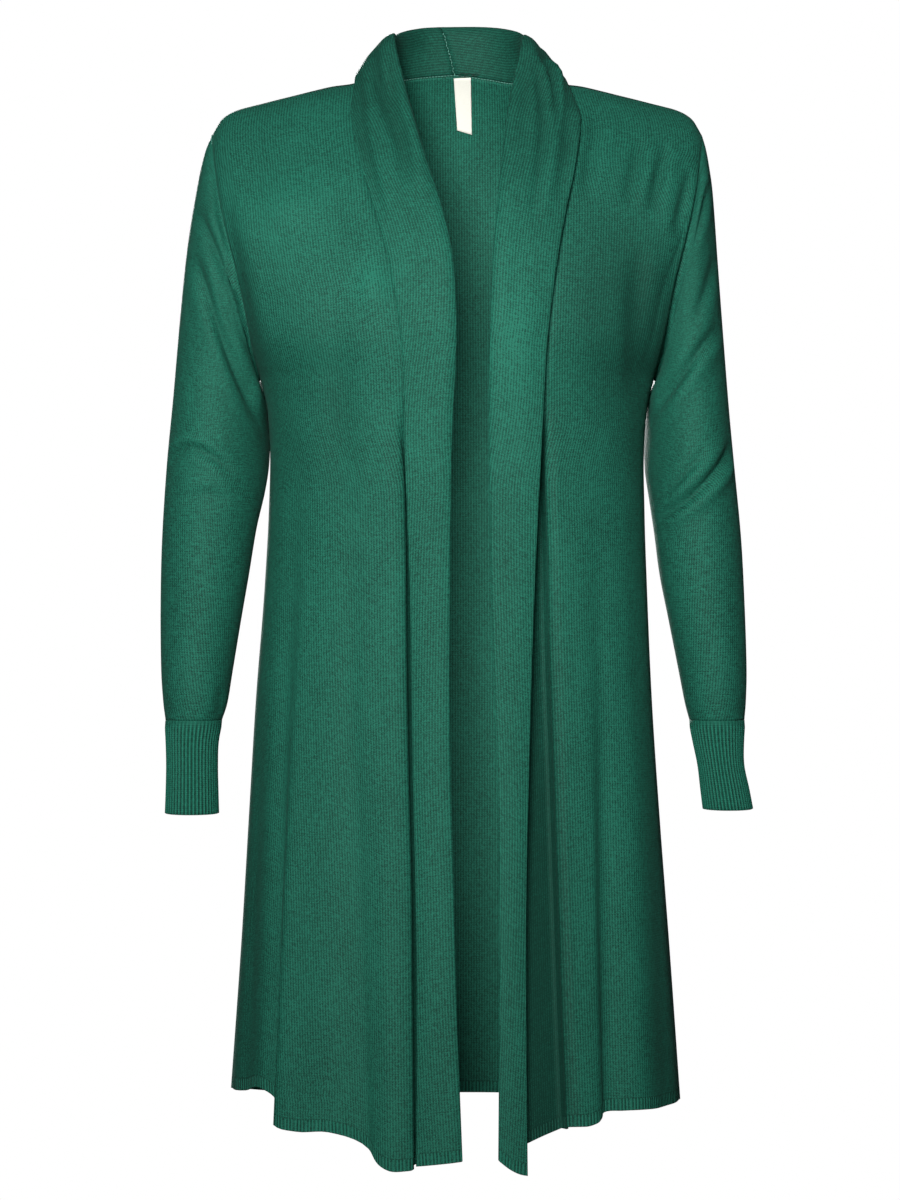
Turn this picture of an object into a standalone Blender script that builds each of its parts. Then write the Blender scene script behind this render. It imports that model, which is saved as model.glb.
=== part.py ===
"""Open-front long cardigan in fine rib-edged knit, filled out as if worn, with nobody in it.

Lengths in the tables are millimetres; the built objects are in metres, +Z up.
The front faces -Y and the wearer's right side is -X.
The origin is the middle of the neck opening, level with the back neck seam.
A row number runs up the body: 0 hem, 1 underarm, 2 shoulder seam, 3 centre back of the collar.
"""
import math

import bpy
import numpy as np

# Cloth and seams
WALL = 1.6
SEAM_GAP = 0.6
FOLD_RADIUS = 3.2

# Mesh fineness
ROWS_BELOW_UNDERARM = 11
ROWS_ABOVE_UNDERARM = 12
ROWS_ROUND_NECK = 7
BACK_NECK_COLUMNS = ROWS_ROUND_NECK

# Body sizes
UNDERARM_HEIGHT = -285.0
SQUARENESS = 2.2
RECESS_DEPTH = 20.0
RECESS_STEP = 4.5

# Cuff ribs
CUFF_RIBS = 44
RIB_HEIGHT = 0.9

# Woven neck label
LABEL_WIDTH = 16.0
LABEL_THICKNESS = 1.0
LABEL_GAP = 0.5


def table(columns, *rows):
    """A dictionary of number arrays, one for each named column."""
    values = np.array(rows, dtype=float)
    return dict(zip(columns.split(), values.T))


# Body sections from hem to underarm
BODY = table(
    "row right_x left_x front_depth back_depth",
    (0.00, 204.5, 202.0, 128, 115),
    (0.22, 194.5, 191.8, 122, 110),
    (0.385, 188.2, 183.6, 117, 105),
    (0.55, 181.8, 176.4, 113, 99),
    (0.71, 173.8, 171.8, 112, 96),
    (0.82, 170.0, 169.5, 114, 95),
    (0.91, 169.3, 169.3, 118, 97),
    (0.965, 172.5, 172.5, 121, 99),
    (1.00, 178.0, 178.0, 124, 100),
)

# Armhole edge, chest and back sections from underarm to shoulder seam
YOKE = table(
    "row side_x front_side_y back_side_y side_z front_depth neck_z back_depth back_z",
    (1.00, 178.0, -4, -4, -285, 124, -285, 100, -285),
    (1.13, 184.0, -40, 42, -255, 127, -245, 107, -238),
    (1.29, 193.6, -55, 60, -203, 118, -195, 109, -185),
    (1.45, 204.5, -53, 61, -160, 99, -145, 106, -130),
    (1.615, 214.5, -38, 46, -116, 74, -95, 95, -80),
    (1.785, 219.6, -20, 24, -83, 41, -50, 80, -38),
    (1.91, 221.6, -8, 10, -68, 14, -21, 68, -13),
    (2.00, 222.0, 0, 0, -63, -4, -8, 60, 0),
)

# Shoulder seam from the neck point out to the sleeve
SHOULDER = table(
    "x z",
    (74, -8),
    (92, -15),
    (109, -17.5),
    (145, -26),
    (182, -35.5),
    (201, -41),
    (214.5, -50),
    (222, -63),
)

# Upright lines of the fronts, side seam first: where each one stands and how far it is pushed out
RIGHT_LINES = table(
    "hem_x low_x high_x hem_z hem_push low_push high_push",
    (204.5, 190.5, 180.5, -928, 0, 0, 0),
    (194.0, 184.0, 175.0, -924, 0, 0, 0),
    (178.0, 171.0, 163.0, -919, -3, -2, -1),
    (165.0, 158.0, 150.0, -928, -9, -6, -3),
    (158.0, 149.0, 140.0, -949, 3, 2, 1),
    (140.0, 132.0, 125.0, -953, 3, 2, 1),
    (113.0, 110.0, 109.0, -952, 1, 0, 0),
    (79.0, 86.0, 93.0, -966, -5, -4, -2),
    (69.0, 75.0, 81.0, -979, 0, -1, 0),
    (58.0, 63.0, 68.0, -984, 3, 2, 1),
    (46.5, 49.5, 54.0, -984, 2, 1, 1),
    (38.6, 40.5, 44.9, -983, 0, 0, 0),
    (39.1, 41.0, 45.4, -981, 0, 0, 0),
    (34.1, 36.0, 40.4, -980, 0, 0, 0),
)
LEFT_LINES = table(
    "hem_x low_x high_x hem_z hem_push low_push high_push",
    (202.0, 186.5, 175.5, -938, 0, 0, 0),
    (193.0, 180.0, 170.5, -937, 0, 0, 0),
    (178.0, 170.0, 161.0, -937, 2, 1, 0),
    (162.0, 157.0, 150.0, -936, 3, 2, 1),
    (147.0, 143.0, 139.0, -936, -1, 0, 0),
    (133.0, 129.0, 127.0, -937, -6, -4, -2),
    (125.0, 120.0, 118.0, -944, 1, 1, 0),
    (119.0, 113.0, 110.0, -946, 2, 1, 1),
    (114.0, 107.0, 103.0, -947, 2, 1, 1),
    (109.0, 102.0, 97.0, -947, 2, 1, 1),
    (104.5, 96.6, 91.0, -947, 1, 1, 0),
    (96.5, 88.6, 82.8, -948, 0, 0, 0),
    (97.0, 89.1, 83.3, -950, 0, 0, 0),
    (92.0, 84.1, 78.3, -951, 0, 0, 0),
)
LINE_ROWS = (0.0, 0.316, 0.586)

# Neck line, fold and free edge of each turned-out front edge, hem first, round to the centre back
RIGHT_COLLAR = table(
    "row neck_x neck_y neck_z fold_x fold_y fold_z edge_x edge_y edge_z",
    (0.00, -34.1, -116, -980, 3.9, -137, -974, -36.0, -132, -979),
    (0.18, -35.3, -112, -854, -0.8, -131, -849, -35.4, -127, -854),
    (0.36, -36.5, -106, -729, -3.8, -126, -724, -36.8, -122, -729),
    (0.50, -38.9, -102, -631, -6.5, -122, -627, -39.0, -118, -632),
    (0.64, -40.7, -100, -535, -7.2, -120, -530, -40.3, -116, -535),
    (0.78, -41.5, -101, -437, -6.5, -121, -433, -42.9, -119, -438),
    (0.90, -43.2, -109, -354, -5.1, -126, -349, -46.0, -125, -354),
    (1.00, -45.0, -117, -285, -1.8, -132, -280, -47.8, -129, -285),
    (1.13, -49.0, -121, -245, -1.1, -135, -238, -51.5, -132, -243),
    (1.29, -55.0, -112, -195, -4.6, -127, -184, -60.0, -123, -191),
    (1.45, -61.5, -93, -145, -14.5, -109, -137, -73.8, -104, -138),
    (1.615, -68.0, -67, -95, -29.5, -83, -89, -86.5, -80, -96),
    (1.785, -73.0, -35, -50, -42.0, -51, -45, -94.0, -53, -59),
    (1.91, -74.0, -9, -20, -50.0, -26, -12, -95.5, -33, -39),
    (2.00, -74.0, 4, -8, -56.5, -7, 20, -92.5, -3, -11),
    (2.20, -66.0, 26, -8.5, -54.5, 15, 30, -92.0, 22, -22),
    (2.45, -52.0, 42, -7, -45.5, 36, 37.5, -80.0, 46, -25),
    (2.70, -32.0, 53, -3, -33.0, 52, 42.5, -54.0, 68, -21),
    (3.00, -2.3, 60, 0.5, -16.3, 61, 45, -14.3, 80, -14),
)
LEFT_COLLAR = table(
    "row neck_x neck_y neck_z fold_x fold_y fold_z edge_x edge_y edge_z",
    (0.00, 92.0, -116, -953, 36.3, -137, -973, 61.5, -133, -987),
    (0.18, 87.5, -112, -833, 37.2, -131, -848, 60.4, -127, -860),
    (0.36, 83.5, -106, -713, 37.0, -126, -724, 60.7, -122, -734),
    (0.50, 80.5, -102, -619, 35.0, -122, -626, 63.0, -118, -635),
    (0.64, 77.2, -100, -525, 31.2, -120, -530, 65.7, -116, -538),
    (0.78, 75.5, -101, -431, 29.0, -121, -433, 69.5, -118, -440),
    (0.90, 72.5, -109, -352, 28.2, -126, -350, 73.8, -123, -354),
    (1.00, 71.5, -116, -285, 28.2, -132, -280, 77.0, -126, -285),
    (1.13, 71.5, -117, -245, 29.5, -135, -238, 80.8, -127, -242),
    (1.29, 73.0, -109, -195, 32.0, -127, -184, 88.0, -119, -187),
    (1.45, 74.5, -91, -145, 35.6, -110, -137, 96.5, -101, -140),
    (1.615, 75.5, -66, -95, 40.5, -85, -92, 105.0, -78, -98),
    (1.785, 75.5, -35, -50, 46.0, -54, -47, 110.0, -50, -62),
    (1.91, 75.0, -9, -20, 52.0, -29, -14, 109.0, -33, -43),
    (2.00, 74.0, 4, -8, 59.0, -7, 18, 98.5, -4, -12.5),
    (2.20, 65.5, 26, -10, 59.5, 16, 30, 95.0, 22, -23),
    (2.45, 50.6, 42, -10, 48.0, 42, 39.5, 80.0, 48, -26),
    (2.70, 30.0, 53, -5, 26.0, 58, 44.5, 52.0, 70, -22),
    (3.00, -2.3, 60, 0.5, -16.3, 61, 45, -14.3, 80, -14),
)

# Soft folds of the back, from its right side seam to its left: pushed out at the hem
BACK_FOLDS = table(
    "across push",
    (-1.00, 0),
    (-0.80, 2),
    (-0.62, -5),
    (-0.45, 4),
    (-0.22, -3),
    (0.05, 3),
    (0.28, -4),
    (0.50, 4),
    (0.68, -4),
    (0.84, 2),
    (1.00, 0),
)
BACK_HEM = table("across z", (-1.0, -928), (-0.5, -943), (0.0, -949), (0.5, -945), (1.0, -938))

# Sleeves, shoulder first: outer line, inner line, how far the inner line lies behind, and depth
RIGHT_SLEEVE = table(
    "ring outer_x outer_z inner_x inner_z inner_back front_y back_y",
    (0, 222.0, -63, 178.0, -285, 0, -55, 60),
    (1, 226.8, -74, 183.0, -286.5, 0, -56, 59),
    (2, 231.0, -90, 180.6, -296, 7, -58, 57),
    (3, 236.0, -116, 176.1, -313, 20, -59, 54),
    (4, 243.7, -165, 172.4, -337, 27, -60, 51),
    (5, 250.0, -226, 172.2, -362, 18, -60, 48),
    (6, 256.3, -300, 175.6, -388, 8, -60, 44),
    (7, 262.0, -362, 182.5, -420, 2, -60, 39),
    (8, 266.2, -430, 189.2, -462, 0, -58, 33),
    (9, 267.4, -490, 196.0, -502, 0, -56, 27),
    (10, 266.8, -545, 203.3, -547, 0, -53, 20),
    (11, 265.0, -575, 208.2, -577, 0, -50, 16),
    (12, 262.8, -593, 213.2, -593, 0, -47, 13),
)
LEFT_SLEEVE = table(
    "ring outer_x outer_z inner_x inner_z inner_back front_y back_y",
    (0, 222.0, -63, 178.0, -285, 0, -55, 60),
    (1, 225.2, -74, 183.0, -286.5, 0, -56, 59),
    (2, 228.3, -92, 180.6, -296, 7, -58, 57),
    (3, 231.5, -118, 176.1, -313, 20, -59, 54),
    (4, 235.6, -177, 172.4, -337, 27, -60, 51),
    (5, 240.0, -238, 172.2, -366, 18, -60, 48),
    (6, 245.5, -310, 175.8, -396, 8, -60, 44),
    (7, 250.5, -366, 179.6, -425, 2, -60, 39),
    (8, 256.4, -430, 184.2, -462, 0, -58, 33),
    (9, 259.4, -490, 192.0, -502, 0, -56, 27),
    (10, 261.0, -545, 200.8, -547, 0, -53, 20),
    (11, 260.4, -575, 206.6, -577, 0, -50, 16),
    (12, 259.0, -593, 210.8, -593, 0, -47, 13),
)
SLEEVE_RINGS = 17
ARMHOLE_BLEND_RINGS = 3.5

# Cuffs, top first
RIGHT_CUFF = table(
    "height outer_x inner_x front_y back_y",
    (-593.4, 262.8, 213.2, -47, 13),
    (-611, 261.8, 217.0, -45, 12),
    (-634, 261.2, 218.0, -45, 12),
    (-656, 261.6, 217.6, -45, 12),
    (-678, 262.4, 217.0, -45, 12),
)
LEFT_CUFF = table(
    "height outer_x inner_x front_y back_y",
    (-593.4, 259.0, 210.8, -47, 13),
    (-611, 257.8, 214.4, -45, 12),
    (-634, 257.9, 219.2, -45, 12),
    (-656, 262.5, 221.8, -45, 12),
    (-674, 266.0, 224.0, -45, 12),
)

GREEN = (0.035, 0.140, 0.105)
GREEN_CUFF = (0.032, 0.128, 0.096)
CREAM = (0.900, 0.890, 0.840)


def smooth(keys, values, at):
    """Smooth curve through a table: cubic pieces whose slopes come from the neighbours."""
    keys = np.asarray(keys, dtype=float)
    values = np.asarray(values, dtype=float)
    step = np.diff(keys)
    rise = np.diff(values) / step
    slope = np.empty_like(values)
    slope[1:-1] = (rise[:-1] * step[1:] + rise[1:] * step[:-1]) / (step[:-1] + step[1:])
    slope[0] = rise[0]
    slope[-1] = rise[-1]
    at = np.clip(np.asarray(at, dtype=float), keys[0], keys[-1])
    i = np.clip(np.searchsorted(keys, at, side="right") - 1, 0, len(step) - 1)
    t = (at - keys[i]) / step[i]
    start = (1 + 2 * t) * (1 - t) ** 2 * values[i] + t * (1 - t) ** 2 * step[i] * slope[i]
    end = t * t * (3 - 2 * t) * values[i + 1] - t * t * (1 - t) * step[i] * slope[i + 1]
    return start + end


def read(rows, key, name, at):
    """Value of one named column at a place along the table."""
    return float(smooth(rows[key], rows[name], at))


def ease(value, start, end):
    """Rises smoothly from 0 to 1 between start and end."""
    t = min(max((value - start) / (end - start), 0.0), 1.0)
    return t * t * (3 - 2 * t)


def unit(vector):
    return vector / max(np.linalg.norm(vector), 1e-12)


def row_numbers():
    below = np.linspace(0, 1, ROWS_BELOW_UNDERARM + 1)
    above = np.linspace(1, 2, ROWS_ABOVE_UNDERARM + 1)[1:]
    return np.concatenate([below, above])


def neck_rows():
    return np.linspace(2, 3, ROWS_ROUND_NECK + 1)[1:]


def body_section(row, side, front):
    """Side point, depth at the centre and height at the centre of one level of the body."""
    depth_name = "front_depth" if front else "back_depth"
    if row <= 1:
        side_x = read(BODY, "row", "right_x" if side < 0 else "left_x", row)
        depth = read(BODY, "row", depth_name, row)
        return side_x, -4.0, UNDERARM_HEIGHT, depth, UNDERARM_HEIGHT
    side_y = read(YOKE, "row", "front_side_y" if front else "back_side_y", row)
    centre_z = read(YOKE, "row", "neck_z" if front else "back_z", row)
    depth = read(YOKE, "row", depth_name, row)
    side_x = read(YOKE, "row", "side_x", row)
    side_z = read(YOKE, "row", "side_z", row)
    return side_x, side_y, side_z, depth, centre_z


def angle_of(x, side_x):
    """Angle round the oval section of a point that stands x from the middle."""
    return math.acos(min(abs(x) / side_x, 1.0) ** (SQUARENESS / 2))


def oval_point(angle, side, side_x, side_y, depth, front):
    across = max(math.cos(angle), 0.0) ** (2 / SQUARENESS)
    forward = max(math.sin(angle), 0.0) ** (2 / SQUARENESS)
    centre_y = -depth if front else depth
    return np.array([side * side_x * across, side_y + (centre_y - side_y) * forward, 0.0])


def oval_out(point, side_x, depth):
    """Direction straight out of the oval section."""
    return unit(np.array([point[0] / side_x ** 2, point[1] / depth ** 2, 0.0]))


def collar_point(side, name, row):
    rows = RIGHT_COLLAR if side < 0 else LEFT_COLLAR
    return np.array([read(rows, "row", name + axis, row) for axis in ("_x", "_y", "_z")])


def front_panel_row(side, row):
    """Points of a front from its side seam to the neck line at one level."""
    lines = RIGHT_LINES if side < 0 else LEFT_LINES
    count = len(lines["hem_x"])
    side_x, side_y, side_z, depth, neck_z = body_section(row, side, True)
    neck = collar_point(side, "neck", row)
    neck_angle = angle_of(neck[0], side_x)
    points = []
    for j in range(count):
        even = j / (count - 1)
        low = min(row, LINE_ROWS[-1])
        places = [lines[name][j] for name in ("hem_x", "low_x", "high_x")]
        pushes = [lines[name][j] for name in ("hem_push", "low_push", "high_push")]
        x = smooth(LINE_ROWS, places, low)
        push = smooth(LINE_ROWS + (0.85,), pushes + [0.0], min(row, 0.85))
        low_side_x = body_section(low, side, True)[0]
        placed = angle_of(x, low_side_x) / angle_of(collar_point(side, "neck", low)[0], low_side_x)
        share = placed + (even - placed) * ease(row, 0.8, 1.25) if j else 0.0
        point = oval_point(share * neck_angle, side, side_x, side_y, depth, True)
        if row <= 1:
            point[2] = lines["hem_z"][j] + (UNDERARM_HEIGHT - lines["hem_z"][j]) * row
        else:
            done = (side_x - abs(point[0])) / (side_x - abs(neck[0]))
            point[2] = side_z + (neck_z - side_z) * done
        point = point + oval_out(point, side_x, depth) * push
        points.append(point)
    points = shoulder_shape(np.array(points), side, row, abs(neck[0]))
    return recess_shape(points, side, row, neck)


def shoulder_shape(points, side, row, neck_x):
    """Raises the upper rows from straight chords to the curve of the shoulder seam."""
    amount = ease(row, 1.55, 2.0)
    if amount > 0:
        tip = SHOULDER["x"][-1]
        chord = np.interp(np.abs(points[:, 0]), [neck_x, tip], [SHOULDER["z"][0], SHOULDER["z"][-1]])
        curve = smooth(SHOULDER["x"], SHOULDER["z"], np.abs(points[:, 0]))
        points[:, 2] += (curve - chord) * amount
        if row >= 2:
            points[:, 2] = curve
    return points


def recess_shape(points, side, row, neck):
    """Turns the last lines back into the recess behind the turned-out edge."""
    amount = 1 - ease(row, 0.84, 0.98)
    front = points[-4].copy()
    fold_x = neck[0] + side * RECESS_STEP
    shapes = (
        (-3, np.array([fold_x, front[1] + 3.5, points[-3][2]])),
        (-2, np.array([fold_x + side * 0.5, front[1] + 8.5, points[-2][2]])),
        (-1, np.array([neck[0], front[1] + RECESS_DEPTH, points[-1][2]])),
    )
    for index, shaped in shapes:
        points[index] = points[index] * (1 - amount) + shaped * amount
    if row > 0.84:
        dip = 3.0 * ease(row, 0.84, 1.0) * (1 - ease(row, 1.6, 2.0))
        points[-1][1] += dip
    if row >= 2:
        points[-1] = neck
    return points


def collar_row(neck, side, row):
    """Points from the neck line over the fold to the free edge."""
    fold = collar_point(side, "fold", row)
    edge = collar_point(side, "edge", row)
    to_neck = unit(neck - fold)
    to_edge = unit(edge - fold)
    inward = unit(to_neck + to_edge)
    across = unit(to_edge - to_neck)
    middle = fold + inward * FOLD_RADIUS
    under = middle - across * FOLD_RADIUS
    over = middle + across * FOLD_RADIUS
    bulge = across * 2.5
    points = []
    for share in (0.34, 0.68):
        points.append(neck + (under - neck) * share - bulge * 0.5 * math.sin(math.pi * share))
    points.extend([under, fold, over])
    for share in (0.34, 0.68):
        points.append(over + (edge - over) * share + bulge * math.sin(math.pi * share))
    points.append(edge)
    return np.array(points)


def front_sheet(side):
    """Middle surface of one front with its half of the collar, as a grid with an empty corner."""
    rows = []
    lines = RIGHT_LINES if side < 0 else LEFT_LINES
    count = len(lines["hem_x"])
    for row in row_numbers():
        panel = front_panel_row(side, row)
        rows.append(np.vstack([panel, collar_row(panel[-1], side, row)]))
    for row in neck_rows():
        neck = collar_point(side, "neck", row)
        empty = np.full((count - 1, 3), np.nan)
        rows.append(np.vstack([empty, neck, collar_row(neck, side, row)]))
    return np.array(rows)


def back_top_row():
    """Shoulder seams and back neck seam, from the right shoulder tip to the left one."""
    right = front_panel_row(-1, 2.0)
    left = front_panel_row(1, 2.0)
    right_neck = [collar_point(-1, "neck", row) for row in neck_rows()]
    left_neck = [collar_point(1, "neck", row) for row in neck_rows()]
    return np.vstack([right, right_neck, left_neck[-2::-1], left[::-1]])


def back_row(row, top):
    """Points of the back from its right side seam to its left at one level."""
    shoulder_count = len(RIGHT_LINES["hem_x"]) - 1
    half = shoulder_count + BACK_NECK_COLUMNS
    base_top = []
    points = []
    for j in range(2 * half + 1):
        side = -1 if j <= half else 1
        steps = j if j <= half else 2 * half - j
        top_share = angle_of(top[j][0], YOKE["side_x"][-1]) / (math.pi / 2)
        share = steps / half + (top_share - steps / half) * ease(row, 0.4, 2.0)
        side_x, side_y, side_z, depth, centre_z = body_section(row, side, False)
        point = oval_point(share * math.pi / 2, side, side_x, side_y, depth, False)
        across = side * (1 - steps / half)
        if row <= 1:
            hem_z = float(smooth(BACK_HEM["across"], BACK_HEM["z"], across))
            point[2] = hem_z + (UNDERARM_HEIGHT - hem_z) * row
            push = float(smooth(BACK_FOLDS["across"], BACK_FOLDS["push"], across))
            push *= 1 - ease(row, 0.0, 0.8)
            point = point + oval_out(point, side_x, depth) * push
        else:
            point[2] = centre_z + (side_z - centre_z) * abs(point[0]) / side_x
        points.append(point)
        last = body_section(2.0, side, False)
        at_top = oval_point(top_share * math.pi / 2, side, last[0], last[1], last[3], False)
        at_top[2] = last[4] + (last[2] - last[4]) * abs(at_top[0]) / last[0]
        base_top.append(at_top)
    points = np.array(points)
    return points + (top - np.array(base_top)) * ease(row, 1.5, 2.0) ** 2


def back_sheet():
    top = back_top_row()
    return np.array([back_row(row, top) for row in row_numbers()])


def armhole_loop(side, front, back):
    """Armhole seam from the shoulder tip down the front to the underarm and up the back."""
    start = ROWS_BELOW_UNDERARM
    front_edge = front[start:start + ROWS_ABOVE_UNDERARM + 1, 0]
    back_edge = back[start:, 0 if side < 0 else -1]
    return np.vstack([front_edge[::-1], back_edge[1:-1]])


def sleeve_section(rows, key, at, count):
    """Slanting oval through the outer line, the inner line and the two depths."""
    names = ("outer_x", "inner_x", "front_y", "back_y")
    outer_x, inner_x, front_y, back_y = (read(rows, key, name, at) for name in names)
    if key == "ring":
        outer_z = read(rows, key, "outer_z", at)
        inner_z = read(rows, key, "inner_z", at)
        inner_back = read(rows, key, "inner_back", at)
    else:
        outer_z = at
        inner_z = at
        inner_back = 0.0
    angles = np.linspace(0, 2 * math.pi, count, endpoint=False)
    across = np.cos(angles)
    x = (outer_x + inner_x) / 2 + across * (outer_x - inner_x) / 2
    z = (outer_z + inner_z) / 2 + across * (outer_z - inner_z) / 2
    y = (front_y + back_y) / 2 + np.sin(angles) * (front_y - back_y) / 2
    y += inner_back * ((1 - across) / 2) ** 2
    return np.stack([x, y, z], axis=1)


def sleeve_sheet(side, loop):
    rows = RIGHT_SLEEVE if side < 0 else LEFT_SLEEVE
    count = len(loop)
    last = rows["ring"][-1]
    mirror = np.array([side, 1, 1])
    first = sleeve_section(rows, "ring", 0.0, count)
    away = loop * mirror - first
    sheet = []
    for i in range(SLEEVE_RINGS + 1):
        at = last * (i / SLEEVE_RINGS)
        ring = sleeve_section(rows, "ring", at, count)
        left = max(0.0, 1 - at / ARMHOLE_BLEND_RINGS)
        sheet.append((ring + away * left * left) * mirror)
    return np.array(sheet)


def cuff_sheet(side):
    rows = RIGHT_CUFF if side < 0 else LEFT_CUFF
    descending = {name: values[::-1] for name, values in rows.items()}
    mirror = np.array([side, 1, 1])
    count = 2 * CUFF_RIBS
    rings = [sleeve_section(descending, "height", at, count) * mirror for at in rows["height"]]
    return np.array(rings)


def grid_faces(sheet, closed):
    """Squares of a grid, leaving out those with an empty corner."""
    rows, columns = sheet.shape[:2]
    faces = []
    for i in range(rows - 1):
        for j in range(columns if closed else columns - 1):
            k = (j + 1) % columns
            corners = (i * columns + j, i * columns + k, (i + 1) * columns + k, (i + 1) * columns + j)
            if not any(np.isnan(sheet.reshape(-1, 3)[c][0]) for c in corners):
                faces.append(corners)
    return faces


def point_normals(points, faces):
    normals = np.zeros_like(points)
    for face in faces:
        a, b, c, d = (points[i] for i in face)
        normal = np.cross(c - a, d - b)
        for i in face:
            normals[i] += unit(normal)
    return np.array([unit(n) for n in normals])


class Sheet:
    """Middle surface of a piece: points, squares facing out and normals."""

    def __init__(self, name, grid, closed, flipped):
        points = grid.reshape(-1, 3)
        faces = grid_faces(grid, closed)
        if flipped:
            faces = [face[::-1] for face in faces]
        used = sorted({i for face in faces for i in face})
        place = {old: new for new, old in enumerate(used)}
        self.name = name
        self.points = points[used]
        self.faces = [tuple(place[i] for i in face) for face in faces]
        self.normals = point_normals(self.points, self.faces)
        self.relief = np.zeros(len(used))

    def edges(self):
        """Boundary edges with the square each one belongs to."""
        found = {}
        for face in self.faces:
            for a, b in zip(face, face[1:] + face[:1]):
                found[(a, b)] = face
        return {pair: face for pair, face in found.items() if (pair[1], pair[0]) not in found}


def share_normals(sheets):
    """Gives points that meet at a seam one common normal, so that the walls end in a mitre."""
    meeting = {}
    for sheet in sheets:
        for i, point in enumerate(sheet.points):
            meeting.setdefault(tuple(np.round(point, 2)), []).append((sheet, i))
    for group in meeting.values():
        if len(group) > 1:
            total = unit(sum(sheet.normals[i] for sheet, i in group))
            for sheet, i in group:
                sheet.normals[i] = total


def build_wall(sheet, thickness, colour, rough):
    """Closed solid: both faces of the cloth and a rim along every edge."""
    points = sheet.points.copy()
    retreat = np.zeros_like(points)
    boundary = sheet.edges()
    for (a, b), face in boundary.items():
        along = unit(sheet.points[b] - sheet.points[a])
        centre = sum(sheet.points[i] for i in face) / len(face)
        inward = centre - (sheet.points[a] + sheet.points[b]) / 2
        inward = unit(inward - along * np.dot(inward, along))
        retreat[a] += inward
        retreat[b] += inward
    for i in range(len(points)):
        if np.linalg.norm(retreat[i]) > 0:
            points[i] += unit(retreat[i]) * SEAM_GAP / 2
    outer = points + sheet.normals * (thickness / 2 + sheet.relief)[:, None]
    inner = points - sheet.normals * thickness / 2
    count = len(points)
    faces = []
    for a, b, c, d in sheet.faces:
        if np.linalg.norm(points[a] - points[c]) <= np.linalg.norm(points[b] - points[d]):
            halves = ((a, b, c), (a, c, d))
        else:
            halves = ((a, b, d), (b, c, d))
        faces.extend(halves)
        faces.extend(tuple(i + count for i in half[::-1]) for half in halves)
    for a, b in boundary:
        if tuple(sheet.points[a].round(1)) > tuple(sheet.points[b].round(1)):
            faces.extend([(b, a, a + count), (b, a + count, b + count)])
        else:
            faces.extend([(b, a, b + count), (a, a + count, b + count)])
    mesh = bpy.data.meshes.new(sheet.name)
    mesh.from_pydata((np.vstack([outer, inner]) * 0.001).tolist(), [], faces)
    mesh.update()
    part = bpy.data.objects.new(sheet.name, mesh)
    bpy.context.scene.collection.objects.link(part)
    material = bpy.data.materials.new(sheet.name + "_cloth")
    material.use_nodes = True
    shader = material.node_tree.nodes["Principled BSDF"]
    shader.inputs["Base Color"].default_value = (*colour, 1.0)
    shader.inputs["Roughness"].default_value = rough
    shader.inputs["Metallic"].default_value = 0.0
    mesh.materials.append(material)
    return part


def back_inside(back, x, height):
    """Depth of the back's middle surface at a place near its centre, read off its own points."""
    start = ROWS_BELOW_UNDERARM
    middle = back.shape[1] // 2
    strip = back[start:, middle - 6:middle + 7]
    depths = [np.interp(x, line[:, 0], line[:, 1]) for line in strip]
    heights = [np.interp(x, line[:, 0], line[:, 2]) for line in strip]
    return float(np.interp(height, heights, depths))


def label_sheet(back):
    """Ribbon inside the back neck, laid along the back and moved in from it."""
    inset = (WALL / 2 + LABEL_GAP + LABEL_THICKNESS / 2) * 1.3
    rows = []
    for share in (0.0, 0.2, 0.4, 0.7, 1.0):
        points = []
        for across in (-0.5, -0.17, 0.17, 0.5):
            height = -2.0 - share * (47.5 + 4.0 * across)
            x = 5.0 + 2.2 * share + across * (LABEL_WIDTH - 2.0 * share)
            points.append((x, back_inside(back, x, height) - inset, height))
        rows.append(points)
    return np.array(rows)


def main():
    for thing in list(bpy.data.objects):
        bpy.data.objects.remove(thing, do_unlink=True)
    right = front_sheet(-1)
    left = front_sheet(1)
    back = back_sheet()
    sheets = [
        Sheet("front_right", right, False, False),
        Sheet("front_left", left, False, True),
        Sheet("back", back, False, True),
        Sheet("sleeve_right", sleeve_sheet(-1, armhole_loop(-1, right, back)), True, True),
        Sheet("sleeve_left", sleeve_sheet(1, armhole_loop(1, left, back)), True, False),
    ]
    share_normals(sheets)
    for sheet in sheets:
        build_wall(sheet, WALL, GREEN, 0.85)
    for name, side in (("cuff_right", -1), ("cuff_left", 1)):
        cuff = Sheet(name, cuff_sheet(side), True, side < 0)
        cuff.relief = RIB_HEIGHT * (np.arange(len(cuff.points)) % 2)
        build_wall(cuff, WALL, GREEN_CUFF, 0.88)
    label = Sheet("neck_label", label_sheet(back), False, False)
    build_wall(label, LABEL_THICKNESS, CREAM, 0.6)


main()
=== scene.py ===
import math

import bpy
import numpy as np
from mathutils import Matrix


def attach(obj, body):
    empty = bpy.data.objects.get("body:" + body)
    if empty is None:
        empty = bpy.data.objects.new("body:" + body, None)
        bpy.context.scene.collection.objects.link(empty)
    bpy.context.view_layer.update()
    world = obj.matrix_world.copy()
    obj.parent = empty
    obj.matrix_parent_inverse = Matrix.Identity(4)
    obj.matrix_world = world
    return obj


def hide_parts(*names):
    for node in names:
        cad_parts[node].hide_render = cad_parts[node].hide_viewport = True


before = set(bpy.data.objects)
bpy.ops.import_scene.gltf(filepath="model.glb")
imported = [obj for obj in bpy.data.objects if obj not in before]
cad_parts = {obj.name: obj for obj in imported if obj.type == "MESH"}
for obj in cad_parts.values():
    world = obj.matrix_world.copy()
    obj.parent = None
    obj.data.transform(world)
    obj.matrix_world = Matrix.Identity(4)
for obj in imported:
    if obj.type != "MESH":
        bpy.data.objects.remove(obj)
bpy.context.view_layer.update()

bpy.ops.object.select_all(action="DESELECT")


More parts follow.
